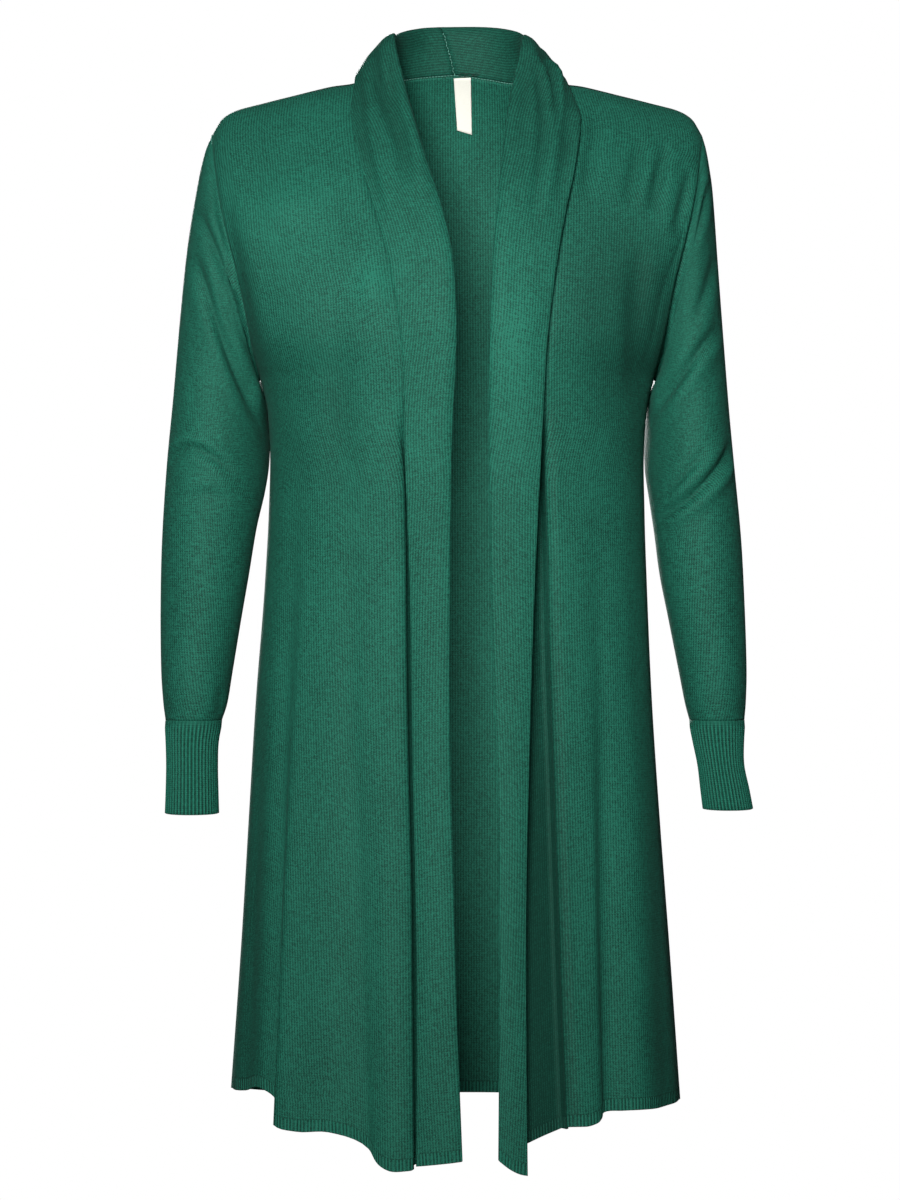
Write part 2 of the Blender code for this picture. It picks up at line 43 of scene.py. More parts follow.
# Camera, light and floor.
# The camera stands straight in front at chest height. A large soft lamp hangs at the upper left, a
# weaker one at the right, one behind, and a faint strip inside the garment stands for light from its
# open ends; the floor is plain and pale, the surround plain white.
camera_data = bpy.data.cameras.new("camera")
camera_data.sensor_fit = "VERTICAL"
camera_data.sensor_height = 36
camera_data.lens = 105.6
camera = bpy.data.objects.new("camera", camera_data)
camera.location = (-0.00636, -3.2, -0.485)
camera.rotation_euler = (math.pi / 2, 0, 0)
bpy.context.scene.collection.objects.link(camera)
bpy.context.scene.camera = camera
bpy.context.scene.view_settings.view_transform = "Standard"


def soft_lamp(name, place, aim, size, power):
    """A square soft lamp at place, turned to shine at aim."""
    bpy.ops.object.light_add(type="AREA", location=place)
    lamp = bpy.context.object
    lamp.name = name
    lamp.data.size = size
    lamp.data.energy = power
    towards = [b - a for a, b in zip(place, aim)]
    flat = math.hypot(towards[0], towards[1])
    turn = math.atan2(towards[1], towards[0]) - math.pi / 2
    lamp.rotation_euler = (math.atan2(flat, -towards[2]), 0, turn)
    return lamp


key_lamp = soft_lamp("key_lamp", (-0.4, -3.0, 0.3), (0, 0, -0.2), 0.8, 18)
key_lamp.data.spread = math.radians(60)
soft_lamp("fill_lamp", (0.7, -3.0, -0.6), (0, 0, -0.4), 1.2, 5.5)
inner_lamp = soft_lamp("inner_lamp", (0, -0.06, -0.5), (0, 0.1, -0.5), 0.1, 0.3)
inner_lamp.data.shape = "RECTANGLE"
inner_lamp.data.size_y = 0.64
inner_lamp.visible_camera = False
back_lamp = soft_lamp("back_lamp", (-0.5, 3.0, 0.5), (0, 0, -0.3), 0.9, 22)
back_lamp.data.spread = math.radians(60)

world = bpy.data.worlds.new("room")
world.use_nodes = True
world.node_tree.nodes["Background"].inputs["Color"].default_value = (1, 1, 1, 1)
world.node_tree.nodes["Background"].inputs["Strength"].default_value = 0.06
bpy.context.scene.world = world


def plain_finish(name, **values):
    """A material with the given values on its shader."""
    finish = bpy.data.materials.new(name)
    finish.use_nodes = True
    for socket, value in values.items():
        finish.node_tree.nodes["Principled BSDF"].inputs[socket.replace("_", " ")].default_value = value
    return finish


bpy.ops.mesh.primitive_plane_add(size=4.8, location=(0, 0, -1.45))
floor = bpy.context.object
floor.name = "floor"
floor.data.materials.append(plain_finish("pale_floor", Base_Color=(0.86, 0.86, 0.85, 1), Roughness=0.9,
                                         Emission_Color=(0.86, 0.86, 0.85, 1), Emission_Strength=0.6))
floor.visible_diffuse = False
floor.visible_glossy = False

bpy.ops.mesh.primitive_uv_sphere_add(segments=48, ring_count=24, radius=9, location=(0, 0, -0.4))
surround = bpy.context.object
surround.name = "surround"
surround.data.materials.append(plain_finish("white_surround", Base_Color=(0, 0, 0, 1), Specular_IOR_Level=0,
                                            Emission_Color=(1, 1, 1, 1), Emission_Strength=1))
surround.visible_diffuse = False
surround.visible_glossy = False
surround.visible_transmission = False
surround.visible_volume_scatter = False
surround.visible_shadow = False


# The two fronts.
# Each is one panel of fine plain knit from the side seam to the open edge, with half of the shawl
# collar knitted on in one piece, turned out along a soft fold; the hem ends in a narrow rib band.
CLOTH = 1.5
SEAM = 0.15
RIM_LIFT = 0.35
FOLD_RADIUS = 3.2
UNDERARM = -285.0
SQUARENESS = 2.2
RECESS_DEPTH = 20.0
RECESS_STEP = 4.5
HEM_ROWS = np.array([0, 1.2, 2.6, 4.2, 6.2, 8.6, 11.0, 12.6, 15.0]) / 655
ROWS_TO_UNDERARM = np.concatenate([HEM_ROWS, np.linspace(0.03, 1, 112)])
ROWS_TO_SHOULDER = np.linspace(1, 2, 57)[1:]
ROWS_ROUND_NECK = np.linspace(2, 3, 21)[1:]
BODY_ROWS = np.concatenate([ROWS_TO_UNDERARM, ROWS_TO_SHOULDER])
UNDERARM_ROW = len(ROWS_TO_UNDERARM) - 1
NECK_ROW = len(BODY_ROWS)
PANEL_STEPS = 5
COLLAR_STEPS = (3, 3, 3, 4, 4, 5, 5, 5)


def table(text):
    """Named columns of numbers, from text whose first line holds the names."""
    names, *rows = [line.split() for line in text.strip().splitlines()]
    return dict(zip(names, np.array(rows, dtype=float).T))


BODY = table("""
row right_x left_x front_depth back_depth
0.00 204.5 202 128 115
0.22 194.5 191.8 122 110
0.385 188.2 183.6 117 105
0.55 181.8 176.4 113 99
0.71 173.8 171.8 112 96
0.82 170 169.5 114 95
0.91 169.3 169.3 118 97
0.965 172.5 172.5 121 99
1.00 178 178 124 100
""")
YOKE = table("""
row side_x front_side_y back_side_y side_z front_depth neck_z back_depth back_z
1.00 178 -4 -4 -285 124 -285 100 -285
1.13 184 -40 42 -255 127 -245 107 -238
1.29 193.6 -55 60 -203 118 -195 109 -185
1.45 204.5 -53 61 -160 99 -145 106 -130
1.615 214.5 -38 46 -116 74 -95 95 -80
1.785 219.6 -20 24 -83 41 -50 80 -38
1.91 221.6 -8 10 -68 14 -21 68 -13
2.00 222 0 0 -63 -4 -8 60 0
""")
SHOULDER = table("""
x z
74 -8
92 -15
109 -17.5
145 -26
182 -35.5
201 -41
214.5 -50
222 -63
""")
RIGHT_LINES = table("""
hem_x low_x high_x hem_z hem_push low_push high_push
204.5 190.5 180.5 -928 0 0 0
194 184 175 -924 0 0 0
178 171 163 -919 -3 -2 -1
165 158 150 -928 -9 -6 -3
158 149 140 -949 3 2 1
140 132 125 -953 3 2 1
113 110 109 -952 1 0 0
79 86 93 -966 -5 -4 -2
69 75 81 -979 0 -1 0
58 63 68 -984 3 2 1
46.5 49.5 54 -984 2 1 1
38.6 40.5 44.9 -983 0 0 0
39.1 41 45.4 -981 0 0 0
34.1 36 40.4 -980 0 0 0
""")
LEFT_LINES = table("""
hem_x low_x high_x hem_z hem_push low_push high_push
202 186.5 175.5 -938 0 0 0
193 180 170.5 -937 0 0 0
178 170 161 -937 2 1 0
162 157 150 -936 3 2 1
147 143 139 -936 -1 0 0
133 129 127 -937 -6 -4 -2
125 120 118 -944 1 1 0
119 113 110 -946 2 1 1
114 107 103 -947 2 1 1
109 102 97 -947 2 1 1
104.5 96.6 91 -947 1 1 0
96.5 88.6 82.8 -948 0 0 0
97 89.1 83.3 -950 0 0 0
92 84.1 78.3 -951 0 0 0
""")
LINE_ROWS = (0.0, 0.316, 0.586)
RIGHT_COLLAR = table("""
row neck_x neck_y neck_z fold_x fold_y fold_z edge_x edge_y edge_z
0.00 -34.1 -116 -980 3.9 -137 -974 -36 -132 -979
0.18 -35.3 -112 -854 -0.8 -131 -849 -35.4 -127 -854
0.36 -36.5 -106 -729 -3.8 -126 -724 -36.8 -122 -729
0.50 -38.9 -102 -631 -6.5 -122 -627 -39 -118 -632
0.64 -40.7 -100 -535 -7.2 -120 -530 -40.3 -116 -535
0.78 -41.5 -101 -437 -6.5 -121 -433 -42.9 -119 -438
0.90 -43.2 -109 -354 -5.1 -126 -349 -46 -125 -354
1.00 -45 -117 -285 -1.8 -132 -280 -47.8 -129 -285
1.13 -49 -121 -245 -1.1 -135 -238 -51.5 -132 -243
1.29 -55 -112 -195 -4.6 -127 -184 -60 -123 -191
1.45 -61.5 -93 -145 -14.5 -109 -137 -73.8 -104 -138
1.615 -68 -67 -95 -29.5 -83 -89 -86.5 -80 -96
1.785 -73 -35 -50 -42 -51 -45 -94 -53 -59
1.91 -74 -9 -20 -50 -26 -12 -95.5 -33 -39
2.00 -74 4 -8 -56.5 -7 20 -92.5 -3 -11
2.20 -66 26 -8.5 -54.5 15 30 -92 22 -22
2.45 -52 42 -7 -45.5 36 37.5 -80 46 -25
2.70 -32 53 -3 -33 52 42.5 -54 68 -21
3.00 -2.3 60 0.5 -16.3 61 45 -14.3 80 -14
""")
LEFT_COLLAR = table("""
row neck_x neck_y neck_z fold_x fold_y fold_z edge_x edge_y edge_z
0.00 92 -116 -953 36.3 -137 -973 61.5 -133 -987
0.18 87.5 -112 -833 37.2 -131 -848 60.4 -127 -860
0.36 83.5 -106 -713 37 -126 -724 60.7 -122 -734
0.50 80.5 -102 -619 35 -122 -626 63 -118 -635
0.64 77.2 -100 -525 31.2 -120 -530 65.7 -116 -538
0.78 75.5 -101 -431 29 -121 -433 69.5 -118 -440
0.90 72.5 -109 -352 28.2 -126 -350 73.8 -123 -354
1.00 71.5 -116 -285 28.2 -132 -280 77 -126 -285
1.13 71.5 -117 -245 29.5 -135 -238 80.8 -127 -242
1.29 73 -109 -195 32 -127 -184 88 -119 -187
1.45 74.5 -91 -145 35.6 -110 -137 96.5 -101 -140
1.615 75.5 -66 -95 40.5 -85 -92 105 -78 -98
1.785 75.5 -35 -50 46 -54 -47 110 -50 -62
1.91 75 -9 -20 52 -29 -14 109 -33 -43
2.00 74 4 -8 59 -7 18 98.5 -4 -12.5
2.20 65.5 26 -10 59.5 16 30 95 22 -23
2.45 50.6 42 -10 48 42 39.5 80 48 -26
2.70 30 53 -5 26 58 44.5 52 70 -22
3.00 -2.3 60 0.5 -16.3 61 45 -14.3 80 -14
""")


def creases(text):
    """Soft creases from lines of text: half width, depth, ridge beside it and, where given, how much
    painted shade and highlight a millimetre of depth adds; then x and z of the points along it."""
    found = []
    for line in text.strip().splitlines():
        shape, *path = [[float(n) for n in group.split()] for group in line.split(",")]
        found.append((path, *shape))
    return found


def smooth(keys, values, at):
    """Smooth curve through a table: cubic pieces whose slopes come from the neighbours."""
    keys = np.asarray(keys, dtype=float)
    values = np.asarray(values, dtype=float)
    at = np.clip(np.asarray(at, dtype=float), keys[0], keys[-1])
    i = np.clip(np.searchsorted(keys, at, side="right") - 1, 0, len(keys) - 2)
    step = np.diff(keys)
    t = (at - keys[i]) / step[i]
    gap = step[i]
    if values.ndim > 1:
        step = step[:, None]
        t = t[..., None]
        gap = gap[..., None]
    rise = np.diff(values, axis=0) / step
    slope = np.empty_like(values)
    slope[1:-1] = (rise[:-1] * step[1:] + rise[1:] * step[:-1]) / (step[:-1] + step[1:])
    slope[0] = rise[0]
    slope[-1] = rise[-1]
    start = (1 + 2 * t) * (1 - t) ** 2 * values[i] + t * (1 - t) ** 2 * gap * slope[i]
    end = t * t * (3 - 2 * t) * values[i + 1] - t * t * (1 - t) * gap * slope[i + 1]
    return start + end


def read(rows, key, name, at):
    """One named column of a table at a place along it."""
    return float(smooth(rows[key], rows[name], at))


def ease(value, start, end):
    """Rises smoothly from 0 to 1 between start and end."""
    t = np.clip((value - start) / (end - start), 0.0, 1.0)
    return t * t * (3 - 2 * t)


def unit(vectors):
    return vectors / np.maximum(np.linalg.norm(vectors, axis=-1, keepdims=True), 1e-12)


def resample(points, steps):
    """Smooth curve through points, with a number of steps in each span."""
    lengths = np.linalg.norm(np.diff(points, axis=0), axis=1)
    keys = np.concatenate([[0], np.cumsum(np.maximum(lengths, 1e-6))])
    at = [keys[i] + (keys[i + 1] - keys[i]) * k / n for i, n in enumerate(steps) for k in range(n)]
    return smooth(keys, points, at + [keys[-1]])


def body_section(row, side, front):
    """Side point, depth at the centre and height at the centre of one level of the body."""
    depth_name = "front_depth" if front else "back_depth"
    if row <= 1:
        side_x = read(BODY, "row", "right_x" if side < 0 else "left_x", row)
        depth = read(BODY, "row", depth_name, row)
        return side_x, -4.0, UNDERARM, depth, UNDERARM
    side_x = read(YOKE, "row", "side_x", row)
    side_y = read(YOKE, "row", "front_side_y" if front else "back_side_y", row)
    side_z = read(YOKE, "row", "side_z", row)
    centre_z = read(YOKE, "row", "neck_z" if front else "back_z", row)
    return side_x, side_y, side_z, read(YOKE, "row", depth_name, row), centre_z


def angle_of(x, side_x):
    """Angle round the oval section of a point that stands x from the middle."""
    return np.arccos(np.minimum(np.abs(x) / side_x, 1.0) ** (SQUARENESS / 2))


def oval(angle, side, side_x, side_y, depth, front):
    """Points of an oval section at the given angles, and the directions straight out of it."""
    across = np.maximum(np.cos(angle), 0.0) ** (2 / SQUARENESS)
    forward = np.maximum(np.sin(angle), 0.0) ** (2 / SQUARENESS)
    centre_y = -depth if front else depth
    x = side * side_x * across
    y = side_y + (centre_y - side_y) * forward
    out = unit(np.stack([x / side_x ** 2, y / depth ** 2, 0 * x], axis=-1))
    return np.stack([x, y, 0 * x], axis=-1), out


def collar_point(side, name, row):
    rows = RIGHT_COLLAR if side < 0 else LEFT_COLLAR
    return np.array([read(rows, "row", name + axis, row) for axis in ("_x", "_y", "_z")])


def front_panel_row(side, row):
    """Points of a front from its side seam to the neck line at one level."""
    lines = RIGHT_LINES if side < 0 else LEFT_LINES
    side_x, side_y, side_z, depth, neck_z = body_section(row, side, True)
    neck = collar_point(side, "neck", row)
    low = min(row, LINE_ROWS[-1])
    x = smooth(LINE_ROWS, [lines["hem_x"], lines["low_x"], lines["high_x"]], low)
    pushes = [lines["hem_push"], lines["low_push"], lines["high_push"], 0 * lines["hem_push"]]
    push = smooth(LINE_ROWS + (0.85,), pushes, min(row, 0.85))
    low_side_x = body_section(low, side, True)[0]
    placed = angle_of(x, low_side_x) / angle_of(collar_point(side, "neck", low)[0], low_side_x)
    even = np.linspace(0, 1, len(x))
    share = placed + (even - placed) * ease(row, 0.8, 1.25)
    share[0] = 0.0
    points, out = oval(share * angle_of(neck[0], side_x), side, side_x, side_y, depth, True)
    if row <= 1:
        points[:, 2] = lines["hem_z"] + (UNDERARM - lines["hem_z"]) * row
    else:
        done = (side_x - np.abs(points[:, 0])) / (side_x - abs(neck[0]))
        points[:, 2] = side_z + (neck_z - side_z) * done
    points += out * push[:, None]
    return recess(shoulder_curve(points, row, abs(neck[0])), side, row, neck)


def shoulder_curve(points, row, neck_x):
    """Raises the upper rows from straight chords to the curve of the shoulder seam."""
    amount = ease(row, 1.55, 2.0)
    if amount > 0:
        across = np.abs(points[:, 0])
        tip = SHOULDER["x"][-1]
        chord = np.interp(across, [neck_x, tip], [SHOULDER["z"][0], SHOULDER["z"][-1]])
        curve = smooth(SHOULDER["x"], SHOULDER["z"], across)
        points[:, 2] += (curve - chord) * amount
        if row >= 2:
            points[:, 2] = curve
    return points


def recess(points, side, row, neck):
    """Turns the last lines back into the hollow behind the turned-out edge."""
    amount = 1 - ease(row, 0.84, 0.98)
    front = points[-4].copy()
    fold_x = neck[0] + side * RECESS_STEP
    shapes = (
        (-3, np.array([fold_x, front[1] + 3.5, points[-3][2]])),
        (-2, np.array([fold_x + side * 0.5, front[1] + 8.5, points[-2][2]])),
        (-1, np.array([neck[0], front[1] + RECESS_DEPTH, points[-1][2]])),
    )
    for index, shaped in shapes:
        points[index] = points[index] * (1 - amount) + shaped * amount
    if row > 0.84:
        points[-1][1] += 3.0 * ease(row, 0.84, 1.0) * (1 - ease(row, 1.6, 2.0))
    if row >= 2:
        points[-1] = neck
    return points


def collar_row(neck, side, row):
    """Points from the neck line over the fold to the free edge."""
    fold = collar_point(side, "fold", row)
    edge = collar_point(side, "edge", row)
    to_neck = unit(neck - fold)
    to_edge = unit(edge - fold)
    inward = unit(to_neck + to_edge)
    across = unit(to_edge - to_neck)
    middle = fold + inward * FOLD_RADIUS
    under = middle - across * FOLD_RADIUS
    over = middle + across * FOLD_RADIUS
    points = [neck]
    for share in (0.34, 0.68):
        points.append(neck + (under - neck) * share - across * 1.25 * math.sin(math.pi * share))
    points.extend([under, fold, over])
    for share in (0.34, 0.68):
        points.append(over + (edge - over) * share + across * 2.5 * math.sin(math.pi * share))
    points.append(edge)
    return np.array(points)


def front_grid(side):
    """Middle surface of one front with its half of the collar, as a grid with an empty corner."""
    spans = len(RIGHT_LINES["hem_x"]) - 1
    grid = []
    for row in BODY_ROWS:
        panel = front_panel_row(side, row)
        fine_panel = resample(panel, [PANEL_STEPS] * spans)
        fine_collar = resample(collar_row(panel[-1], side, row), COLLAR_STEPS)
        grid.append(np.vstack([fine_panel, fine_collar[1:]]))
    for row in ROWS_ROUND_NECK:
        fine_collar = resample(collar_row(collar_point(side, "neck", row), side, row), COLLAR_STEPS)
        grid.append(np.vstack([np.full((spans * PANEL_STEPS, 3), np.nan), fine_collar]))
    return np.array(grid)


class Cloth:
    """A knitted piece: a grid of points on its middle surface that becomes a thin closed shell."""

    def __init__(self, name, grid, closed=False, flipped=False, thickness=CLOTH, start=0, from_last=False):
        self.name = name
        self.from_last = from_last
        self.grid = grid
        self.closed = closed
        self.flipped = flipped
        self.thickness = thickness
        self.start = start
        self.relief = np.zeros(grid.shape[:2])
        # Painted shade and highlight at each point, multiplied into the knit's colour.
        self.tone = np.ones(grid.shape[:2])
        self.shared = {}
        self.butted = []
        self.turned = np.zeros(grid.shape[1], dtype=bool)
        self.free = np.ones(grid.shape[:2])
        rows, columns = grid.shape[:2]
        steps = columns if closed else columns - 1
        i, j = np.meshgrid(np.arange(rows - 1), np.arange(steps), indexing="ij")
        i = i.ravel()
        j = j.ravel()
        k = (j + 1) % columns
        corners = (i * columns + j, i * columns + k, (i + 1) * columns + k, (i + 1) * columns + j)
        squares = np.stack(corners, axis=1)
        present = ~np.isnan(grid.reshape(-1, 3)[squares].sum(axis=(1, 2)))
        self.squares = squares[present]
        places = ((i, j), (i, j + 1), (i + 1, j + 1), (i + 1, j))
        self.corner_places = np.stack([np.stack(place, 1) for place in places], axis=1)[present]
        if flipped:
            self.squares = self.squares[:, ::-1]
            self.corner_places = self.corner_places[:, ::-1]

    def normals(self):
        points = self.grid.reshape(-1, 3)
        a, b, c, d = (points[self.squares[:, n]] for n in range(4))
        facing = unit(np.cross(c - a, d - b))
        total = np.zeros_like(points)
        for n in range(4):
            np.add.at(total, self.squares[:, n], facing)
        return unit(total).reshape(self.grid.shape)

    def measures(self):
        """Distance across each row from the start column and up each column from the first row."""
        grid = self.grid
        if self.closed:
            grid = np.concatenate([grid, grid[:, :1]], axis=1)

        def reach(axis):
            steps = np.diff(grid, axis=axis, prepend=np.take(grid, [0], axis=axis))
            return np.cumsum(np.nan_to_num(np.linalg.norm(steps, axis=2)), axis=axis)

        across = reach(1)
        across = across - across[:, self.start:self.start + 1]
        up = reach(0)
        if self.from_last:
            up = up[-1:] - up
        return across, up

    def hold(self, *seams):
        """Keeps the cloth in its place along its seams when the parts beside them are pressed."""
        for spot in np.vstack(seams):
            distance = np.nan_to_num(np.linalg.norm(self.grid - spot, axis=2), nan=1e9)
            self.free = np.minimum(self.free, ease(distance, 0.5, 9.0))

    def seen(self, normals, back):
        """How far each point faces the front or the back; turned-out cloth shows its other side."""
        facing = normals[..., 1] * (1 if back else -1)
        way = np.where(self.turned & (facing < 0), -1.0, 1.0)
        return facing * way, way * self.free

    def press(self, path, width, depth, lip, dark=0.02, back=False):
        """Presses a soft trough, with a low ridge beside it, along a path of x and z, and paints shade
        where it sinks the cloth and highlight where it raises it.
        """
        path = np.array(path, dtype=float)
        path = resample(path, [8] * (len(path) - 1))
        normals = self.normals()
        spots = self.grid[..., [0, 2]].reshape(-1, 1, 2)
        a = path[None, :-1]
        along = path[None, 1:] - a
        t = np.clip(((spots - a) * along).sum(2) / (along ** 2).sum(2), 0, 1)
        offset = spots - (a + along * t[..., None])
        distance = np.linalg.norm(offset, axis=2)
        nearest = np.nanargmin(np.where(np.isnan(distance), 1e9, distance), axis=1)
        pick = np.arange(len(spots))
        place = (nearest + t[pick, nearest]) / (len(path) - 1)
        ahead = along[0, nearest]
        aside = offset[pick, nearest]
        sideways = ahead[:, 0] * aside[:, 1] - ahead[:, 1] * aside[:, 0]
        signed = distance[pick, nearest] * np.where(sideways < 0, -1, 1) / width
        taper = np.sin(np.pi * np.clip(place, 0, 1)) ** 0.6
        shape = -np.exp(-signed ** 2) + lip * np.exp(-((signed - 1.9) / 1.2) ** 2)
        shape += 0.5 * lip * np.exp(-((signed + 2.0) / 1.4) ** 2)
        facing, way = self.seen(normals, back)
        amount = shape * taper * ease(facing, 0.1, 0.55).reshape(-1)
        amount = np.nan_to_num(amount).reshape(self.grid.shape[:2])
        self.grid = self.grid + normals * (depth * way * amount)[..., None]
        # Painted shade where the cloth sinks, painted highlight where it rises.
        self.tone *= 1 + dark * abs(depth) * amount * (1 if depth > 0 else -1)

    def swell(self, x, z, wide, high, height, back=False):
        """Raises a broad soft mound, or a hollow if height is negative."""
        normals = self.normals()
        spot = self.grid
        fall = np.exp(-((spot[..., 0] - x) / wide) ** 2 - ((spot[..., 2] - z) / high) ** 2)
        facing, way = self.seen(normals, back)
        amount = np.nan_to_num(height * fall * ease(facing, 0.05, 0.5) * way)
        self.grid = self.grid + normals * amount[..., None]

    def edges(self):
        """Ordered pairs of points along the free edges."""
        count = len(self.grid.reshape(-1, 3))
        a = self.squares.ravel()
        b = np.roll(self.squares, -1, axis=1).ravel()
        owner = np.repeat(np.arange(len(self.squares)), 4)
        alone = ~np.isin(a * count + b, b * count + a)
        return a[alone], b[alone], owner[alone]

    def wall(self):
        """Places of the outer points, the rim points and the inner points."""
        points = self.grid.reshape(-1, 3).copy()
        normals = self.normals().reshape(-1, 3)
        for index, normal in self.shared.items():
            normals[index] = normal
        a, b, owner = self.edges()
        along = unit(points[b] - points[a])
        centre = points[self.squares[owner]].mean(axis=1)
        inward = centre - (points[a] + points[b]) / 2
        inward = unit(inward - along * (inward * along).sum(1)[:, None])
        retreat = np.zeros_like(points)
        np.add.at(retreat, a, inward)
        np.add.at(retreat, b, inward)
        retreat = unit(retreat)
        points += retreat * SEAM
        half = self.thickness / 2
        relief = self.relief.reshape(-1, 1)
        outer = points + normals * (half + relief)
        inner = points - normals * half
        for places in (points, outer, inner):
            places[self.butted] -= retreat[self.butted] * SEAM
        lift = np.zeros_like(relief)
        lift[a] = RIM_LIFT
        lift[list(self.shared)] = 0
        lift[self.butted] = 0
        rim = points - retreat * lift * 0.3 + normals * relief * 0.5
        outer += retreat * lift
        inner += retreat * lift
        return outer, rim, inner

    def make(self, finish):
        """Makes the closed mesh with its stitch map and its finish."""
        outer, rim, inner = self.wall()
        a, b, owner = self.edges()
        count = len(outer)
        used = np.unique(self.squares)
        edge_points = np.unique(np.concatenate([a, b]))
        number = np.full(3 * count, -1)
        kept = np.concatenate([used, edge_points + count, used + 2 * count])
        number[kept] = np.arange(len(kept))
        self.kept = kept
        outside = number[self.squares]
        inside = number[self.squares[:, ::-1] + 2 * count]
        strip = (b, a, a + count, b + count)
        upper = np.stack([number[points] for points in strip], axis=1)
        lower = np.stack([number[points + count] for points in strip], axis=1)
        faces = np.concatenate([outside, inside, upper, lower])
        places = np.vstack([outer, rim, inner])[kept] * 0.001
        mesh = bpy.data.meshes.new(self.name)
        mesh.from_pydata(places.tolist(), [], faces.tolist())
        across, up = self.measures()
        corner = (self.corner_places[..., 0], self.corner_places[..., 1])
        flat = np.stack([across[corner], up[corner]], axis=-1)
        follow = np.zeros((len(owner), 4, 2))
        for n, (first, second) in enumerate(zip(a, b)):
            square = self.squares[owner[n]].tolist()
            fa = flat[owner[n], square.index(first)]
            fb = flat[owner[n], square.index(second)]
            follow[n] = (fb, fa, fa, fb)
        uv = np.concatenate([flat, flat[:, ::-1], follow, follow]) * 0.001
        layer = mesh.uv_layers.new(name="stitches")
        layer.data.foreach_set("uv", uv.reshape(-1).astype(np.float32))
        # The painted shade and highlight are stored on the points for the finish.
        tone = mesh.attributes.new("tone", "FLOAT", "POINT")
        tone.data.foreach_set("value", np.tile(self.tone.ravel(), 3)[kept].astype(np.float32))
        mesh.materials.append(finish)
        mesh.update()
        piece = bpy.data.objects.new(self.name, mesh)
        bpy.context.scene.collection.objects.link(piece)
        self.piece = piece
        self.part_rims()
        return piece

    def part_rims(self):
        """Shades the cloth round everywhere but on the rims that meet another piece."""
        a, b, owner = self.edges()
        meeting_points = list(self.shared) + list(self.butted)
        apart = ~(np.isin(a, meeting_points) & np.isin(b, meeting_points))
        walls = np.ones(2 * len(self.squares), dtype=bool)
        self.piece.data.polygons.foreach_set("use_smooth", np.concatenate([walls, apart, apart]))

    def settle(self):
        """Moves the finished mesh to the present places of its points."""
        places = np.vstack(self.wall())[self.kept] * 0.001
        self.piece.data.vertices.foreach_set("co", places.reshape(-1).astype(np.float32))
        self.part_rims()
        self.piece.data.update()


GREEN = (0.0078, 0.0830, 0.0545)


def calculator(tree):
    """A function that adds one arithmetic step to tree; an input is a number or a step's output."""
    def step(kind, *inputs):
        node = tree.nodes.new("ShaderNodeMath")
        node.operation = kind
        for value, socket in zip(inputs, node.inputs):
            if isinstance(value, (int, float)):
                socket.default_value = value
            else:
                tree.links.new(value, socket)
        return node.outputs[0]
    return step


def stretched_noise(tree, vector, scale, detail):
    place = tree.nodes.new("ShaderNodeMapping")
    place.inputs["Scale"].default_value = scale
    tree.links.new(vector, place.inputs["Vector"])
    noise = tree.nodes.new("ShaderNodeTexNoise")
    noise.inputs["Scale"].default_value = 1
    noise.inputs["Detail"].default_value = detail
    tree.links.new(place.outputs[0], noise.inputs["Vector"])
    return noise.outputs[0]


def cloth_finish(name, **values):
    """A plain finish, its node tree and the stitch map that its pattern follows."""
    cloth = plain_finish(name, **values)
    stitch_map = cloth.node_tree.nodes.new("ShaderNodeUVMap")
    stitch_map.uv_map = "stitches"
    return cloth, cloth.node_tree, stitch_map.outputs[0]


def colour_and_relief(tree, shade, dark, light, height=None, strength=0.0, distance=0.0):
    """Blends two tones by shade, and raises the surface by height."""
    shader = tree.nodes["Principled BSDF"]
    blend = tree.nodes.new("ShaderNodeMix")
    blend.data_type = "RGBA"
    blend.inputs[6].default_value = (*dark, 1)
    blend.inputs[7].default_value = (*light, 1)
    tree.links.new(shade, blend.inputs[0])
    tree.links.new(blend.outputs[2], shader.inputs["Base Color"])
    if height is not None:
        bump = tree.nodes.new("ShaderNodeBump")
        bump.inputs["Strength"].default_value = strength
        bump.inputs["Distance"].default_value = distance
        tree.links.new(height, bump.inputs["Height"])
        tree.links.new(bump.outputs[0], shader.inputs["Normal"])


def scaled(colour, share):
    return [c * share for c in colour]


SOFT_YARN = {"Specular_IOR_Level": 0.14, "Sheen_Weight": 0.025, "Sheen_Roughness": 0.45,
             "Sheen_Tint": (0.35, 0.85, 0.68, 1)}
WALE_PITCH = 0.0025
STITCH_PITCH = 0.0021
HEM_BAND = 0.0105
HEM_RIB_PITCH = 0.0033


